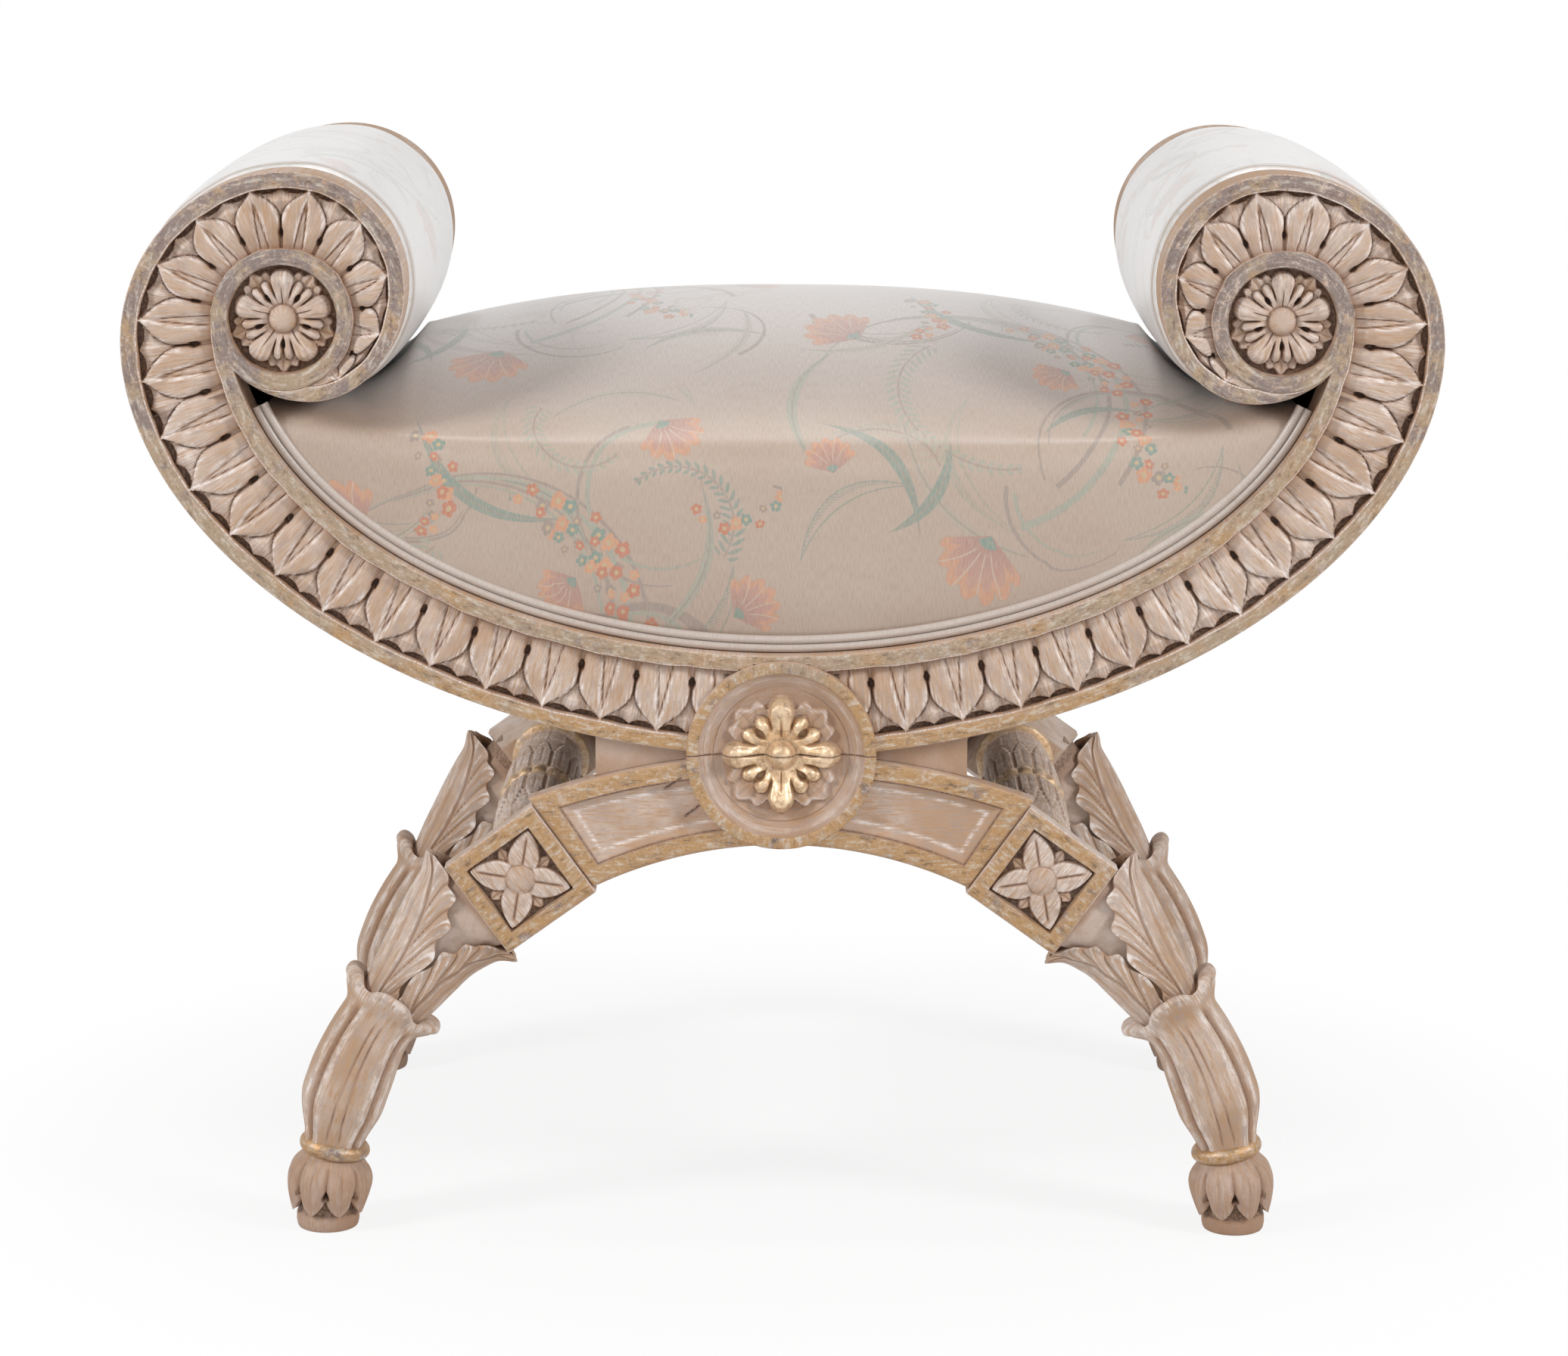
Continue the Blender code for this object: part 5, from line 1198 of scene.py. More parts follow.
def make_seat(silk):
    """Silk seat in one surface: front crescent, rounded edge, domed top and rear crescent, closed below.

    Columns run across the bench between the two corners, rows from the bottom of the front crescent up and
    over to the bottom of the rear one. Rows of the crescents lie on lines of equal height. The top is a dome
    between front and back edge that is pressed down under the rolls; the edges rise towards the corners.
    """
    inset = WELT_CORD + 0.0012
    across = np.sin(np.linspace(-1, 1, 141) * math.pi / 2)[None, :]
    top_half = opening_half(CORNER_Z, inset)
    x = across * top_half
    even = np.linspace(-1, 1, 131)[:, None]
    deep = 0.55 * even + 0.45 * np.sin(even * math.pi / 2)
    press = PRESSED_Z - 0.0055 * smooth(0.90, 0.55, np.abs(deep))
    crown = np.maximum(seat_crown(x), press)
    crown = np.minimum(crown, CORNER_Z + 0.11 * (1 - np.abs(across) ** 80))
    edge = np.minimum(SEAT_EDGE_Z + 0.0225 * np.abs(across) ** 3, crown)
    steep = 2.1 + 4.4 * smooth(0.72, 0.92, np.abs(across))
    top_z = edge + (crown - edge) * (1 - np.abs(deep) ** steep)
    top_y = deep * PANEL_Y + 0 * across
    low_z = inner_arc(0, math.pi / 2, 3, inset)[0, 1] + 0.0003
    rise = np.linspace(0, 1, 46)[:-1, None]
    rise = 0.5 * (1 - np.cos(rise * math.pi / 2)) + 0.5 * rise
    front_z = low_z + (edge[:1] - low_z) * rise
    bulge = 0.0022 * np.sin(math.pi * rise) * (1 - across ** 4) - 0.0030 * smooth(0.25, 0.0, rise)
    front_y = -PANEL_Y - bulge
    z = smoothed(np.concatenate((front_z, top_z, front_z[::-1])), 20, 0)
    y = smoothed(np.concatenate((front_y, top_y, -front_y[::-1])), 20, 0)
    x = across * opening_half(np.minimum(z, CORNER_Z), inset)
    step = np.hypot(np.diff(z, axis=0), np.diff(y, axis=0))
    run = np.concatenate((np.zeros((1, x.shape[1])), np.cumsum(step, axis=0)))
    flat = np.stack((x, run - run[len(run) // 2]), -1)
    fade = np.zeros(x.shape + (3,))
    # Painted sheen: the first tone whitens the middle of the top and the second greys the whole top,
    # standing in for the satin's sheen; the figure is washed out under the first.
    fade[..., 0] = 0.50 * smooth(-0.15, -0.045, y) * smooth(0.150, 0.045, y)
    fade[..., 1] = 0.62 * smooth(-0.182, -0.135, y) * smooth(0.188, 0.170, y)
    top = np.stack((x, y, z), -1)
    under = top * (0.99, 0.90, 1)
    under[..., 2] = np.minimum(DECK_Z + 0.0004, z - 0.001)
    skin = patch(np.concatenate((top, under[::-1])), np.concatenate((fade, fade[::-1])),
                 np.concatenate((flat, flat[::-1])), (True, False))
    item = piece("seat_silk", [skin], silk, "silk", "seat_pad", "front_crescent", "rear_crescent", crease=70)


def make_rolls(silk):
    """Stuffed silk over each end: from under the roll, over it, and down the outside of the boat."""
    end = FACE_Y - RAIL_THICK - HAIR
    half = end - np.concatenate((np.linspace(0, 0.018, 19), np.linspace(0.018, end, 24)[1:]))
    y = np.concatenate((-half, half[-2::-1]))[:, None]
    roll = scroll_quarters(0.0, 44)[::-1]
    boat = boat_edge(np.linspace(math.pi / 2, 0, 300))
    boat = boat[(boat[:, 0] > OUTSIDE_END_X) & (boat[:, 1] < BOAT_WIDE_Z - 0.001)][::4]
    path = np.vstack((roll, boat))
    normal = -side_normal(path)
    on_roll = smooth(BOAT_WIDE_Z - 0.040, BOAT_WIDE_Z + 0.020, path[:, 1])[None, :]
    on_roll[:, :100] = 1.0
    from_end = end - np.abs(y)
    drawn = smooth(0.0, 0.010, from_end)
    full = 1 - np.exp(-from_end / 0.05)
    grow = on_roll * (-0.0050 + 0.0062 * drawn + 0.0048 * full) + (1 - on_roll) * (-0.0035 + 0.0008 * full)
    run = arc_length(path)[None, :]
    creases = 0.0006 * np.sin(run * 130 + 3 * np.sin(y * 30)) * np.exp(-from_end / 0.012) * on_roll
    outline = path[None] + normal[None] * (grow + creases)[..., None]
    inner = path[None] + normal[None] * (grow - 0.005)[..., None]
    flat = np.stack((y + 0 * run, run + 0 * y), -1)
    fade = np.zeros(outline.shape[:2] + (3,))
    # Painted sheen: the first tone whitens the rolls fully and the silk down the outside partly. The third
    # paints dark seam lines near the ends, partly as shade of the welts.
    fade[..., 0] = 0.35 + 0.65 * on_roll
    fade[..., 2] = np.clip(sum(ridge(from_end - seam, 0.0012) for seam in ROLL_SEAMS), 0, 1)
    for hand, side in SIDES:
        skin = np.stack((side * outline[..., 0], y + 0 * run, outline[..., 1]), -1)
        lining = np.stack((side * inner[..., 0], y + 0 * run, inner[..., 1]), -1)
        loop = np.concatenate((skin, lining[:, ::-1]), axis=1)
        uv = np.concatenate((flat, flat[:, ::-1]), axis=1) + np.array((0.13 * side, 0.07))
        tone = np.concatenate((fade, fade[:, ::-1]), axis=1)
        closed = np.concatenate((lining, lining[:, ::-1]), axis=1)
        loop = np.concatenate((closed[:1], loop, closed[-1:]))
        tone, uv = (np.concatenate((values[:1], values, values[-1:])) for values in (tone, uv))
        item = piece(hand + "_roll_silk", [patch(loop, tone, uv, (False, True))], silk, "silk",
                     hand + "_roll_pad", hand + "_outside_cover", crease=60)


def tube(path, radius, columns=12):
    """Round cord along a 3-D path, with flat coordinates round and along it."""
    run = np.gradient(path, axis=0)
    run /= np.linalg.norm(run, axis=1)[:, None]
    across = np.cross(run, (0.0, 1.0, 0.0))
    across /= np.linalg.norm(across, axis=1)[:, None]
    up = np.cross(across, run)
    turn = np.linspace(0, 2 * math.pi, columns, endpoint=False)
    ring = across[:, None] * np.cos(turn)[None, :, None] + up[:, None] * np.sin(turn)[None, :, None]
    points = path[:, None] + radius * ring
    flat = np.stack(np.broadcast_arrays(arc_length(path)[:, None], turn[None] * radius), -1)
    # The cords carry a little painted sheen: 0.3 in the first tone.
    return capped(points, np.zeros(points.shape) + (0.3, 0, 0), flat)


def make_welts(silk):
    """Double cords along the frame's opening, and fine double cords round the rolls' ends."""
    half_turn = math.acos((INNER_MID_Z - CORNER_Z) / INNER_DROP)
    for label, face in FACES:
        cords = []
        for inset in (WELT_INSET - WELT_CORD / 2, WELT_INSET + WELT_CORD / 2):
            line = inner_arc(-half_turn, half_turn, 160, inset)
            path = np.column_stack((line[:, 0], np.full(len(line), face * PANEL_Y), line[:, 1]))
            cords.append(tube(path, WELT_CORD / 2))
        piece(label + "_seat_cord", cords, silk, "silk", label + "_seat_welt")
        for hand, side in SIDES:
            cords = []
            for back in (0.0017, 0.0017 + ROLL_CORD):
                line = scroll_quarters(-0.0022, 60)
                depth = face * (FACE_Y - RAIL_THICK - back)
                path = np.column_stack((side * line[:, 0], np.full(len(line), depth), line[:, 1]))
                cords.append(tube(path, ROLL_CORD / 2, 10))
            name = f"{label}_{hand}_roll_welt"
            piece(name + "_cord", cords, silk, "silk", name)


# Materials

def feed(tree, socket, value):
    """Link an input from another node's socket, or set it to a value."""
    if isinstance(value, bpy.types.NodeSocket):
        tree.links.new(value, socket)
    else:
        socket.default_value = value


def add(tree, kind, *inputs, **settings):
    """A node with its settings, whose inputs are fed in order."""
    node = tree.nodes.new(kind)
    for name, value in settings.items():
        setattr(node, name, value)
    for socket, value in zip(node.inputs, inputs):
        feed(tree, socket, value)
    return node


def calc(tree, operation, a, b=0.5, c=0.5):
    """Value of one Math node."""
    return add(tree, "ShaderNodeMath", a, b, c, operation=operation).outputs[0]


def times(tree, a, b):
    """Product of two values."""
    return calc(tree, "MULTIPLY", a, b)


def plus(tree, a, b):
    """Sum of two values."""
    return calc(tree, "ADD", a, b)


def minus(tree, a, b):
    """First value less the second."""
    return calc(tree, "SUBTRACT", a, b)


def span(tree, value, low, high, start=0.0, end=1.0):
    """Value carried smoothly from start to end while it runs from low to high."""
    return add(tree, "ShaderNodeMapRange", value, low, high, start, end,
               interpolation_type="SMOOTHSTEP").outputs[0]


def mix(tree, share, first, second, how="MIX"):
    """Two colours mixed by a share."""
    node = tree.nodes.new("ShaderNodeMix")
    node.data_type = "RGBA"
    node.blend_type = how
    node.clamp_factor = True
    for index, value in ((0, share), (6, first), (7, second)):
        feed(tree, node.inputs[index], (*value, 1.0) if isinstance(value, tuple) else value)
    return node.outputs[2]


def noise(tree, vector, scale, detail=4.0, rough=0.55, stretch=None):
    """Cloudy noise from 0 to 1; stretch scales the coordinates first."""
    if stretch:
        vector = add(tree, "ShaderNodeVectorMath", vector, stretch, operation="MULTIPLY").outputs[0]
    node = add(tree, "ShaderNodeTexNoise", vector)
    node.inputs["Scale"].default_value = scale
    node.inputs["Detail"].default_value = detail
    node.inputs["Roughness"].default_value = rough
    return node.outputs[0]


def group(name, inputs, outputs):
    """A new node group with its sockets; returns the tree, its input sockets and its output node."""
    tree = bpy.data.node_groups.new(name, "ShaderNodeTree")
    for label, kind in inputs:
        tree.interface.new_socket(label, in_out="INPUT", socket_type="NodeSocket" + kind)
    for label, kind in outputs:
        tree.interface.new_socket(label, in_out="OUTPUT", socket_type="NodeSocket" + kind)
    return tree, tree.nodes.new("NodeGroupInput").outputs, tree.nodes.new("NodeGroupOutput").inputs


def use(tree, shared, *inputs):
    """Outputs of a node group used in a tree."""
    node = tree.nodes.new("ShaderNodeGroup")
    node.node_tree = shared
    for socket, value in zip(node.inputs, inputs):
        feed(tree, socket, value)
    return node.outputs


def shaded(name):
    """A new material and its tree, with a Principled shader in it."""
    material = bpy.data.materials.new(name)
    material.use_nodes = True
    return material, material.node_tree


def join(tree, **inputs):
    """Feed the shader's inputs by name; spaces are written as underscores."""
    shader = tree.nodes["Principled BSDF"]
    for label, value in inputs.items():
        feed(tree, shader.inputs[label.replace("_", " ")], value)


def bumped(tree, height, strength, distance):
    """Normal of a small relief."""
    node = tree.nodes.new("ShaderNodeBump")
    node.inputs["Strength"].default_value = strength
    node.inputs["Distance"].default_value = distance
    tree.links.new(height, node.inputs["Height"])
    return node.outputs[0]


def limed_group():
    """Limed, pickled wood: tan ground with ochre brush marks, whiting on proud edges, and umber brown
    deepening to painted near-black shade in hollows.

    Flow holds flat coordinates along the carving, so that brush marks run the way a carver's strokes do.
    """
    tree, given, result = group("limed", (("Place", "Vector"), ("Flow", "Vector"), ("Hollow", "Float"),
                                          ("Proud", "Float")), (("Color", "Color"), ("Height", "Float")))
    place, flow, hollow, proud = given[0], given[1], given[2], given[3]
    broad = noise(tree, place, 18.0, 3.0)
    cloud = noise(tree, place, 130.0, 5.0, 0.68)
    fine = noise(tree, place, 520.0, 4.0, 0.7)
    brush = noise(tree, flow, 520.0, 4.0, 0.62, (1.0, 0.12, 1.0))
    moved = add(tree, "ShaderNodeVectorMath", flow, (0.71, 0.37, 0.0), operation="ADD").outputs[0]
    stroke = noise(tree, moved, 780.0, 3.0, 0.60, (1.0, 0.10, 1.0))
    colour = mix(tree, span(tree, broad, 0.38, 0.62), TAN, PALE)
    warm = times(tree, span(tree, brush, 0.46, 0.60), span(tree, cloud, 0.36, 0.58, 0.35, 0.95))
    colour = mix(tree, warm, colour, OCHRE)
    rub = plus(tree, times(tree, proud, 0.95), span(tree, broad, 0.46, 0.70, 0.0, 0.20))
    rub = times(tree, rub, span(tree, stroke, 0.38, 0.58, 0.12, 1.15))
    colour = mix(tree, times(tree, rub, span(tree, cloud, 0.34, 0.56, 0.30, 1.0)), colour, WHITING)
    grey = times(tree, span(tree, cloud, 0.60, 0.44), span(tree, brush, 0.52, 0.40, 0.0, 0.45))
    colour = mix(tree, grey, colour, DUST)
    # Painted shade: the hollow tone turns the wood umber and, deeper in, near-black, standing in for shade
    # in recesses; the umber is partly the wood's own brown.
    umber_and_shade = times(tree, hollow, span(tree, fine, 0.30, 0.62, 0.75, 1.05))
    soft = times(tree, span(tree, umber_and_shade, 0.02, 0.50), 0.55)
    colour = mix(tree, soft, colour, UMBER)
    colour = mix(tree, span(tree, umber_and_shade, 0.50, 1.0, 0.0, 0.92), colour, CREVICE_SHADE)
    tree.links.new(colour, result[0])
    tree.links.new(plus(tree, cloud, plus(tree, brush, times(tree, fine, 0.8))), result[1])
    return tree


def gilt_group():
    """Worn water gilding: dull gold, green and purple-grey patches, scratches, bare wood where rubbed."""
    tree, given, result = group("gilt", (("Place", "Vector"), ("Flow", "Vector"), ("Wood", "Color")),
                                (("Color", "Color"), ("Metal", "Float"), ("Height", "Float")))
    place, flow, bare = given[0], given[1], given[2]
    wide = noise(tree, place, 7.0, 2.0)
    shade = noise(tree, place, 30.0, 6.0, 0.66)
    offset = add(tree, "ShaderNodeVectorMath", place, (3.1, 1.7, 5.3), operation="ADD").outputs[0]
    stain = noise(tree, offset, 50.0, 6.0, 0.72)
    speck = noise(tree, place, 480.0, 5.0, 0.75)
    crack = noise(tree, offset, 170.0, 5.0, 0.74)
    scratch = noise(tree, flow, 420.0, 4.0, 0.65, (0.10, 1.0, 1.0))
    low = add(tree, "ShaderNodeSeparateXYZ", place).outputs[2]
    warm = plus(tree, shade, span(tree, low, 0.38, 0.27, -0.04, 0.30))
    gold = span(tree, plus(tree, warm, times(tree, wide, 0.4)), 0.62, 0.90)
    colour = mix(tree, gold, OLIVE, GOLD)
    colour = mix(tree, span(tree, scratch, 0.52, 0.66, 0.0, 0.65), colour, GILT_GREEN)
    high = span(tree, low, 0.40, 0.62, -0.05, 0.13)
    purple = span(tree, plus(tree, stain, high), 0.50, 0.63, 0.0, 0.85)
    colour = mix(tree, purple, colour, PURPLE)
    worn = plus(tree, span(tree, crack, 0.53, 0.64, 0.0, 0.85), span(tree, shade, 0.40, 0.30, 0.0, 0.5))
    worn = times(tree, worn, span(tree, scratch, 0.36, 0.56, 0.4, 1.1))
    colour = mix(tree, worn, colour, bare)
    rubbed = noise(tree, flow, 290.0, 6.0, 0.75, (0.30, 1.0, 1.0))
    colour = mix(tree, span(tree, rubbed, 0.52, 0.62, 0.0, 0.70), colour, GILT_LIGHT)
    colour = mix(tree, span(tree, rubbed, 0.46, 0.36, 0.0, 0.70), colour, GILT_DARK)
    colour = mix(tree, span(tree, speck, 0.54, 0.66, 0.0, 0.55), colour, GILT_LIGHT)
    colour = mix(tree, span(tree, speck, 0.43, 0.32, 0.0, 0.60), colour, GILT_DARK)
    metal = times(tree, minus(tree, 1.0, purple), minus(tree, 1.0, worn))
    tree.links.new(colour, result[0])
    tree.links.new(times(tree, metal, span(tree, gold, 0.0, 1.0, 0.35, 1.0)), result[1])
    tree.links.new(plus(tree, stain, speck), result[2])
    return tree


def wood_material(name, limed, gilt, dark=0.0):
    """Carved wood: limed ground, worn gilding and burnished gold laid out by the carving attribute."""
    material, tree = shaded(name)
    place = tree.nodes.new("ShaderNodeTexCoord").outputs["Object"]
    flow = tree.nodes.new("ShaderNodeTexCoord").outputs["UV"]
    carving = add(tree, "ShaderNodeAttribute", attribute_name="carving")
    tones = add(tree, "ShaderNodeSeparateColor", carving.outputs["Color"]).outputs
    bright = carving.outputs["Alpha"]
    hollow = calc(tree, "MAXIMUM", tones[1], dark)
    wood = use(tree, limed, place, flow, hollow, tones[2])
    leaf = use(tree, gilt, place, flow, wood[0])
    edge = noise(tree, place, 240.0, 3.0)
    share = span(tree, plus(tree, tones[0], times(tree, edge, 0.5)), 0.70, 0.95)
    share = times(tree, share, minus(tree, 1.0, times(tree, hollow, 0.8)))
    colour = mix(tree, share, wood[0], leaf[0])
    rubbed = noise(tree, place, 190.0, 5.0, 0.7)
    burnish = times(tree, times(tree, bright, share), span(tree, rubbed, 0.40, 0.56, 0.25, 1.0))
    colour = mix(tree, burnish, colour, BURNISHED)
    metal = times(tree, times(tree, share, leaf[1]), 0.5)
    metal = calc(tree, "MAXIMUM", metal, times(tree, burnish, 0.65))
    rough = minus(tree, 0.66, times(tree, share, 0.18))
    rough = minus(tree, rough, times(tree, burnish, 0.14))
    height = plus(tree, times(tree, wood[1], 0.7), times(tree, leaf[2], 0.5))
    join(tree, Base_Color=colour, Metallic=metal, Roughness=rough, Specular_IOR_Level=0.35,
         Normal=bumped(tree, height, 0.35, 0.0006))
    return material


def turned_from(tree, u, v, centre_u, centre_v, turn):
    """Flat coordinates from a centre, turned back by an angle: x, y and the distance."""
    away_u, away_v = minus(tree, u, centre_u), minus(tree, v, centre_v)
    cosine, sine = calc(tree, "COSINE", turn), calc(tree, "SINE", turn)
    x = plus(tree, times(tree, away_u, cosine), times(tree, away_v, sine))
    y = minus(tree, times(tree, away_v, cosine), times(tree, away_u, sine))
    square = plus(tree, times(tree, away_u, away_u), times(tree, away_v, away_v))
    return x, y, calc(tree, "SQRT", square)


def along_arc(tree, given):
    """Distance along an arc from its start, distance outwards from it, and the share of its sweep."""
    x, y, length = turned_from(tree, *given[:4], plus(tree, given[5], math.pi))
    angle = plus(tree, calc(tree, "ARCTAN2", y, x), math.pi)
    run = times(tree, angle, given[4])
    return run, minus(tree, length, given[4]), calc(tree, "DIVIDE", angle, given[6])


def leaf_group():
    """Slender leaf in flat coordinates: a pointed oval from its root, bent to one side, with a midrib."""
    tree, given, result = group("figure_leaf", FLAT_SOCKETS + (("Turn", "Float"), ("Length", "Float"),
                                                               ("Width", "Float"), ("Bend", "Float")),
                                (("Mask", "Float"), ("Rib", "Float"), ("Drawn", "Float")))
    x, y, _ = turned_from(tree, *given[:5])
    share = calc(tree, "DIVIDE", x, given[5])
    hump = times(tree, share, minus(tree, 1.0, share))
    centre = times(tree, times(tree, hump, 4.0), given[7])
    off = minus(tree, y, centre)
    side = calc(tree, "ABSOLUTE", off)
    half = times(tree, times(tree, calc(tree, "MAXIMUM", hump, 0.0), 4.0), given[6])
    within = minus(tree, half, side)
    mask = span(tree, within, 0.0, 0.0009)
    rib = span(tree, side, 0.0009, 0.0004)
    slant = calc(tree, "DIVIDE", plus(tree, times(tree, x, 0.7), off), 0.0018)
    hatch = span(tree, calc(tree, "ABSOLUTE", minus(tree, calc(tree, "FRACT", slant), 0.5)), 0.15, 0.35)
    hatch = times(tree, hatch, calc(tree, "GREATER_THAN", off, 0.0))
    rim = calc(tree, "MAXIMUM", span(tree, within, 0.0015, 0.0009), times(tree, hatch, 0.7))
    tree.links.new(mask, result[0])
    tree.links.new(rib, result[1])
    tree.links.new(times(tree, mask, rim), result[2])
    return tree


def frond_group():
    """Row of small pointed leaflets on both sides of an arc, shorter towards its end, with a fine stalk."""
    tree, given, result = group("figure_frond", ARC_SOCKETS + (("Pitch", "Float"), ("Leaflet", "Float")),
                                (("Mask", "Float"), ("Stalk", "Float")))
    run, off, share = along_arc(tree, given)
    side = calc(tree, "ABSOLUTE", off)
    long = times(tree, given[8], minus(tree, 1.1, times(tree, share, 0.75)))
    lean = minus(tree, run, times(tree, side, 0.75))
    cell = minus(tree, calc(tree, "FRACT", calc(tree, "DIVIDE", lean, given[7])), 0.5)
    place = calc(tree, "DIVIDE", side, long)
    hump = times(tree, place, minus(tree, 1.0, place))
    half = times(tree, calc(tree, "MAXIMUM", hump, 0.0), 1.35)
    within = minus(tree, half, calc(tree, "ABSOLUTE", cell))
    shown = calc(tree, "LESS_THAN", share, 1.0)
    tree.links.new(times(tree, span(tree, within, 0.0, 0.10), shown), result[0])
    tree.links.new(times(tree, span(tree, side, 0.0011, 0.0004), shown), result[1])
    return tree


def garland_group():
    """Small blossoms strung along an arc, staggered about it and each of another size and tint."""
    tree, given, result = group("figure_garland", ARC_SOCKETS + (("Pitch", "Float"), ("Size", "Float")),
                                (("Mask", "Float"), ("Heart", "Float"), ("Tint", "Float")))
    run, off, share = along_arc(tree, given)
    count = calc(tree, "DIVIDE", run, given[7])
    index = calc(tree, "FLOOR", count)
    x = times(tree, minus(tree, calc(tree, "FRACT", count), 0.5), given[7])
    stagger = times(tree, calc(tree, "SINE", times(tree, index, 2.4)), given[7])
    y = minus(tree, off, times(tree, stagger, 0.55))
    length = calc(tree, "SQRT", plus(tree, times(tree, x, x), times(tree, y, y)))
    angle = plus(tree, times(tree, calc(tree, "ARCTAN2", y, x), 2.5), index)
    wave = calc(tree, "POWER", calc(tree, "ABSOLUTE", calc(tree, "COSINE", angle)), 0.6)
    size = plus(tree, 0.78, times(tree, calc(tree, "SINE", times(tree, index, 5.1)), 0.22))
    rho = calc(tree, "DIVIDE", length, times(tree, given[8], size))
    within = minus(tree, plus(tree, 0.62, times(tree, wave, 0.38)), rho)
    shown = calc(tree, "LESS_THAN", share, 1.0)
    tree.links.new(times(tree, span(tree, within, 0.0, 0.12), shown), result[0])
    tree.links.new(span(tree, rho, 0.34, 0.24), result[1])
    tree.links.new(calc(tree, "FRACT", times(tree, index, 0.37)), result[2])
    return tree


def fan_group():
    """Fan-shaped blossom from its root: fringed edge, pale lines between its petals, and a small cup."""
    tree, given, result = group("figure_fan", FLAT_SOCKETS + (("Turn", "Float"), ("Radius", "Float")),
                                (("Mask", "Float"), ("Line", "Float"), ("Deep", "Float"), ("Edge", "Float"),
                                 ("Cup", "Float")))
    x, y, length = turned_from(tree, *given[:5])
    angle = calc(tree, "ARCTAN2", y, x)
    side = calc(tree, "ABSOLUTE", angle)
    rho = calc(tree, "DIVIDE", length, given[5])
    wave = calc(tree, "ABSOLUTE", calc(tree, "COSINE", times(tree, angle, 9.5)))
    droop = times(tree, times(tree, angle, angle), 0.22)
    edge = minus(tree, plus(tree, 0.86, times(tree, wave, 0.14)), droop)
    inside = minus(tree, edge, rho)
    within = times(tree, span(tree, inside, 0.0, 0.04), span(tree, side, 1.12, 1.05))
    cup = times(tree, span(tree, rho, 0.22, 0.19), span(tree, side, 0.9, 0.8))
    line = 0.0
    for turned in (-0.70, -0.25, 0.18, 0.62):
        spread = plus(tree, 0.45, times(tree, rho, 0.6))
        ray = minus(tree, angle, times(tree, turned, spread))
        apart = times(tree, calc(tree, "ABSOLUTE", ray), rho)
        line = calc(tree, "MAXIMUM", line, span(tree, apart, 0.017, 0.007))
    line = times(tree, line, span(tree, rho, 0.24, 0.34))
    tree.links.new(calc(tree, "MAXIMUM", within, cup), result[0])
    tree.links.new(line, result[1])
    tree.links.new(span(tree, rho, 0.75, 0.25, 0.0, 0.8), result[2])
    tree.links.new(span(tree, plus(tree, inside, times(tree, wave, 0.08)), 0.30, 0.22), result[3])
    tree.links.new(cup, result[4])
    return tree


def stem_group():
    """Arc of a stem in flat coordinates, thinner towards its end."""
    tree, given, result = group("figure_stem", ARC_SOCKETS + (("Width", "Float"),), (("Mask", "Float"),))
    _, off, share = along_arc(tree, given)
    width = times(tree, given[7], minus(tree, 1.15, times(tree, share, 0.8)))
    line = span(tree, minus(tree, calc(tree, "ABSOLUTE", off), width), 0.0004, -0.0004)
    tree.links.new(times(tree, line, calc(tree, "LESS_THAN", share, 1.0)), result[0])
    return tree


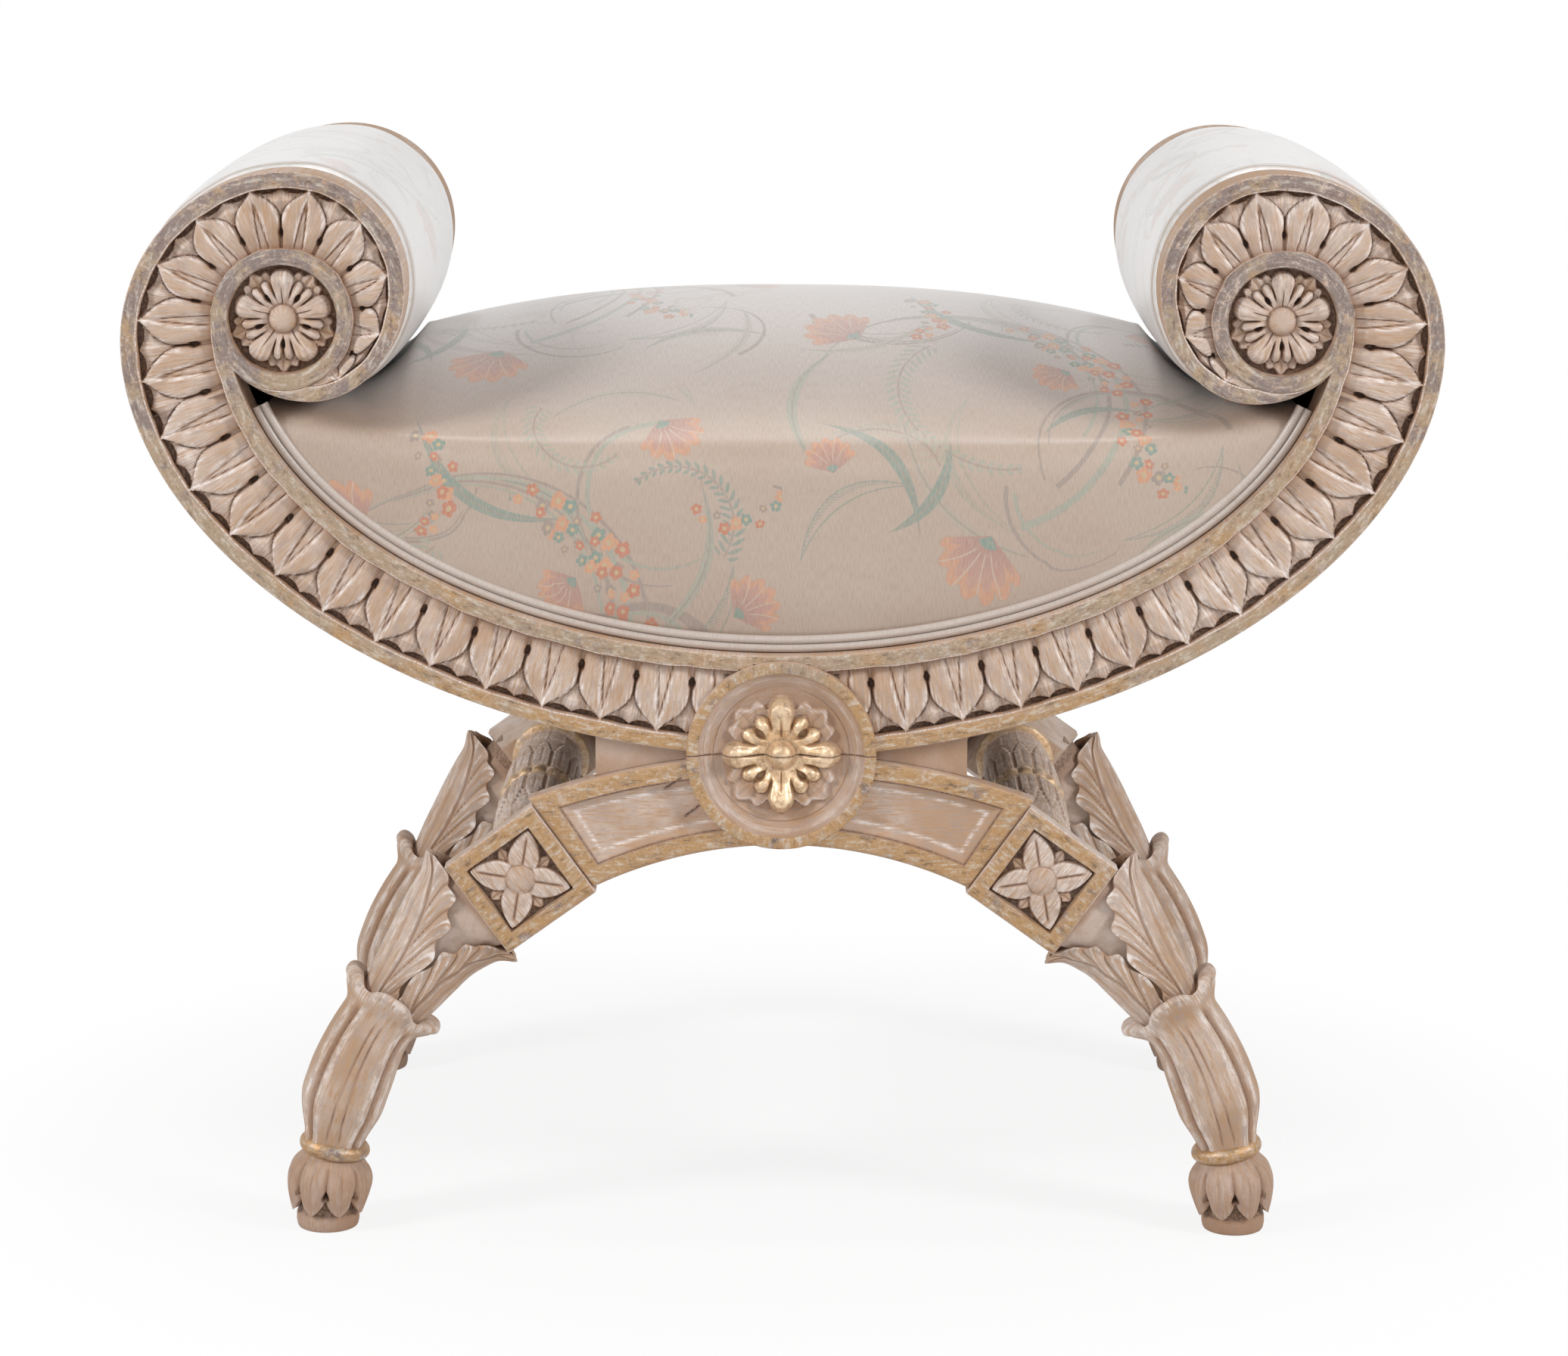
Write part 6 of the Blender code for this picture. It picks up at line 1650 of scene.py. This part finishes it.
def figure_group():
    """Woven figure of the silk in a half-drop repeat: stems, fronds, garlands, leaves and fan blossoms."""
    tree, given, result = group("figure", (("Flat", "Vector"),), (("Color", "Color"), ("Share", "Float")))
    stem, leaf, fan, frond, garland = stem_group(), leaf_group(), fan_group(), frond_group(), garland_group()
    part = add(tree, "ShaderNodeSeparateXYZ", given[0]).outputs
    column = calc(tree, "FLOOR", calc(tree, "DIVIDE", part[0], REPEAT[0]))
    drop = times(tree, calc(tree, "MODULO", plus(tree, column, 40.0), 2.0), REPEAT[1] * 0.5)
    u = calc(tree, "WRAP", part[0], REPEAT[0], 0.0)
    v = calc(tree, "WRAP", plus(tree, part[1], drop), REPEAT[1], 0.0)
    state = [mix(tree, 0.0, STEM_TAUPE, STEM_TAUPE), 0.0]

    def lay(mask, tint, strength):
        state[0] = mix(tree, mask, state[0], tint)
        state[1] = calc(tree, "MAXIMUM", state[1], times(tree, mask, strength))

    for index, (root, turn, length, width, bend) in enumerate(DRAWN_LEAVES):
        out = use(tree, leaf, u, v, *root, turn, length, width, bend)
        lay(out[2], LEAF_TINTS[1 + index % 2], 0.78)
    for index, (centre, radius, start, sweep, width) in enumerate(STEMS):
        tint = STEM_TAUPE if index % 3 else LEAF_TINTS[1]
        lay(use(tree, stem, u, v, *centre, radius, start, sweep, width * STEM_WEIGHT)[0], tint, 0.74)
    for index, (centre, radius, start, sweep, pitch, length) in enumerate(FRONDS):
        out = use(tree, frond, u, v, *centre, radius, start, sweep, pitch, length)
        lay(out[0], LEAF_TINTS[(index + 1) % 3], 0.66)
        lay(out[1], STEM_TAUPE, 0.6)
    for index, (root, turn, length, width, bend) in enumerate(LEAVES):
        out = use(tree, leaf, u, v, *root, turn, length, width, bend)
        lay(out[0], mix(tree, out[1], LEAF_TINTS[index % 3], LEAF_SHADE), (0.50, 0.62, 0.72)[index % 3])
    for centre, radius, start, sweep, pitch, size in GARLANDS:
        out = use(tree, garland, u, v, *centre, radius, start, sweep, pitch, size)
        tint = mix(tree, span(tree, out[2], 0.30, 0.34), BLOSSOM_TINTS[0], BLOSSOM_TINTS[2])
        tint = mix(tree, span(tree, out[2], 0.56, 0.60), tint, STEM_TAUPE)
        tint = mix(tree, span(tree, out[2], 0.78, 0.80), tint, LEAF_TINTS[2])
        lay(out[0], mix(tree, out[1], tint, HEART), 0.85)
    for root, turn, radius in FANS:
        out = use(tree, fan, u, v, *root, turn, radius)
        tint = mix(tree, out[2], BLOSSOM_TINTS[1], BLOSSOM_DEEP)
        tint = mix(tree, times(tree, out[3], 0.75), tint, BLOSSOM_TINTS[2])
        tint = mix(tree, times(tree, out[1], 0.8), tint, OUTLINE)
        lay(out[0], mix(tree, out[4], tint, LEAF_TINTS[2]), 0.80)
    tree.links.new(state[0], result[0])
    tree.links.new(state[1], result[1])
    return tree


def silk_material(name, figure):
    """Champagne satin, whitened and greyed by painted sheen where the carving attribute says so, with a
    woven figure and a fine rib.
    """
    material, tree = shaded(name)
    flat = tree.nodes.new("ShaderNodeTexCoord").outputs["UV"]
    place = tree.nodes.new("ShaderNodeTexCoord").outputs["Object"]
    carving = add(tree, "ShaderNodeAttribute", attribute_name="carving")
    # Channels of the carving attribute on silk: painted white sheen, painted grey sheen, and seam lines that
    # are partly painted shade. The figure is washed out under the white sheen.
    fade, grey_sheen, seam = add(tree, "ShaderNodeSeparateColor", carving.outputs["Color"]).outputs
    ground = mix(tree, span(tree, noise(tree, place, 6.0, 3.0), 0.38, 0.62), SILK, SILK_WARM)
    ground = mix(tree, grey_sheen, ground, SHEEN_GREY)
    ground = mix(tree, fade, ground, SHEEN_WHITE)
    ground = mix(tree, times(tree, seam, 0.75), ground, SEAM_SHADE_TAN)
    stain = noise(tree, place, 7.5, 3.0, 0.6)
    ring = span(tree, calc(tree, "ABSOLUTE", minus(tree, stain, 0.56)), 0.012, 0.0, 0.0, 0.20)
    ground = mix(tree, ring, ground, STAIN)
    if figure:
        out = use(tree, figure, flat)
        weave = noise(tree, flat, 900.0, 2.0, 0.6, (1.0, 0.25, 1.0))
        share = times(tree, out[1], span(tree, weave, 0.30, 0.60, 0.55, 0.95))
        share = times(tree, share, minus(tree, 1.0, times(tree, fade, 0.62)))
        ground = mix(tree, share, ground, out[0])
    rib = noise(tree, flat, 1500.0, 2.0, 0.5, (1.0, 0.12, 1.0))
    ground = mix(tree, span(tree, rib, 0.60, 0.36, 0.0, 0.9), ground, THREAD, "MULTIPLY")
    join(tree, Base_Color=ground, Roughness=0.28, Specular_IOR_Level=0.50, Sheen_Weight=0.10,
         Sheen_Roughness=0.40, Normal=bumped(tree, rib, 0.10, 0.0004))
    return material


def plain_material(name, colour, roughness):
    """Cloth that hardly shows: one colour with a little mottling."""
    material, tree = shaded(name)
    place = tree.nodes.new("ShaderNodeTexCoord").outputs["Object"]
    low = tuple(value * 0.75 for value in colour)
    join(tree, Base_Color=mix(tree, noise(tree, place, 160.0, 4.0), low, colour), Roughness=roughness)
    return material


# Room

def aim(item, target):
    """Turn a light towards a point."""
    away = np.array(target) - np.array(item.location)
    flat = math.hypot(away[0], away[1])
    tilt, turn = math.atan2(away[2], flat), math.atan2(away[1], away[0])
    item.rotation_euler = (math.pi / 2 + tilt, 0, turn - math.pi / 2)


def soft_light(name, location, target, width, height, power):
    """Rectangular softbox."""
    lamp = bpy.data.lights.new(name, "AREA")
    lamp.shape = "RECTANGLE"
    lamp.size = width
    lamp.size_y = height
    lamp.energy = power
    item = bpy.data.objects.new(name, lamp)
    bpy.context.scene.collection.objects.link(item)
    item.location = location
    aim(item, target)


def seen_white(tree):
    """One for rays of the camera and mirrored or transmitted ones, nil for those that light the object."""
    path = tree.nodes.new("ShaderNodeLightPath").outputs
    mirrored = calc(tree, "MAXIMUM", path["Is Glossy Ray"], path["Is Transmission Ray"])
    return calc(tree, "MAXIMUM", path["Is Camera Ray"], mirrored)


def make_room():
    """Pale floor that reads as white, white surroundings for the eye, and soft studio light."""
    scene = bpy.context.scene
    mesh = bpy.data.meshes.new("floor")
    corners = [(FLOOR_HALF * x, FLOOR_HALF * y, 0) for x, y in ((-1, -1), (1, -1), (1, 1), (-1, 1))]
    mesh.from_pydata(corners, [], [(0, 1, 2, 3)])
    floor = bpy.data.objects.new("floor", mesh)
    scene.collection.objects.link(floor)
    material = bpy.data.materials.new("floor")
    material.use_nodes = True
    tree = material.node_tree
    tree.nodes.clear()
    place = tree.nodes.new("ShaderNodeTexCoord").outputs["Object"]
    away = add(tree, "ShaderNodeVectorMath", place, operation="LENGTH").outputs["Value"]
    matt = add(tree, "ShaderNodeBsdfDiffuse", (FLOOR_GREY, FLOOR_GREY, FLOOR_GREY, 1.0)).outputs[0]
    glow = add(tree, "ShaderNodeEmission", (1.0, 1.0, 1.0, 1.0), 1.0).outputs[0]
    share = times(tree, seen_white(tree), span(tree, away, *FLOOR_GLOW))
    both = add(tree, "ShaderNodeMixShader", share, matt, glow).outputs[0]
    out = tree.nodes.new("ShaderNodeOutputMaterial")
    tree.links.new(both, out.inputs["Surface"])
    mesh.materials.append(material)

    world = bpy.data.worlds.new("studio")
    scene.world = world
    world.use_nodes = True
    tree = world.node_tree
    tree.nodes.clear()
    strength = plus(tree, times(tree, seen_white(tree), 1.0 - AMBIENT), AMBIENT)
    back = add(tree, "ShaderNodeBackground", (1.0, 1.0, 1.0, 1.0), strength).outputs[0]
    out = tree.nodes.new("ShaderNodeOutputWorld")
    tree.links.new(back, out.inputs["Surface"])

    for lamp in LAMPS:
        soft_light(*lamp)
    scene.view_settings.view_transform = "Standard"

    lens = bpy.data.cameras.new("camera")
    lens.lens = LENS
    lens.sensor_width = SENSOR
    camera = bpy.data.objects.new("camera", lens)
    scene.collection.objects.link(camera)
    camera.location = CAMERA_PLACE
    turn = Matrix.Rotation(CAMERA_TURN, 3, "Z") @ Matrix.Rotation(CAMERA_TILT, 3, "X")
    camera.rotation_euler = (turn @ Matrix.Rotation(CAMERA_ROLL, 3, "Z")).to_euler()
    scene.camera = camera


def finish_cad(carved, cloths):
    """Procedural finishes for the CAD pieces that stay."""
    for name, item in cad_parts.items():
        slots = item.material_slots
        if item.hide_render or not slots:
            continue
        material = next((made for key, made in cloths.items() if key in name), carved)
        slots[0].link = "OBJECT"
        slots[0].material = material


def main():
    """Build the looks of the bench and its room."""
    limed, gilt = limed_group(), gilt_group()
    wood = wood_material("limed_wood", limed, gilt)
    inner = wood_material("inner_wood", limed, gilt, 0.25)
    silk = silk_material("figured_silk", figure_group())
    cord = silk_material("plain_silk", None)
    make_frames(wood)
    make_arches(wood)
    make_legs(wood)
    make_stretchers(wood)
    make_seat(silk)
    make_rolls(silk)
    make_welts(cord)
    webbing = plain_material("webbing", (0.34, 0.25, 0.16), 0.9)
    lining = plain_material("dust_cloth", (0.05, 0.045, 0.04), 0.95)
    finish_cad(inner, {"seat_deck": webbing, "dust_cover": lining})
    make_room()


main()
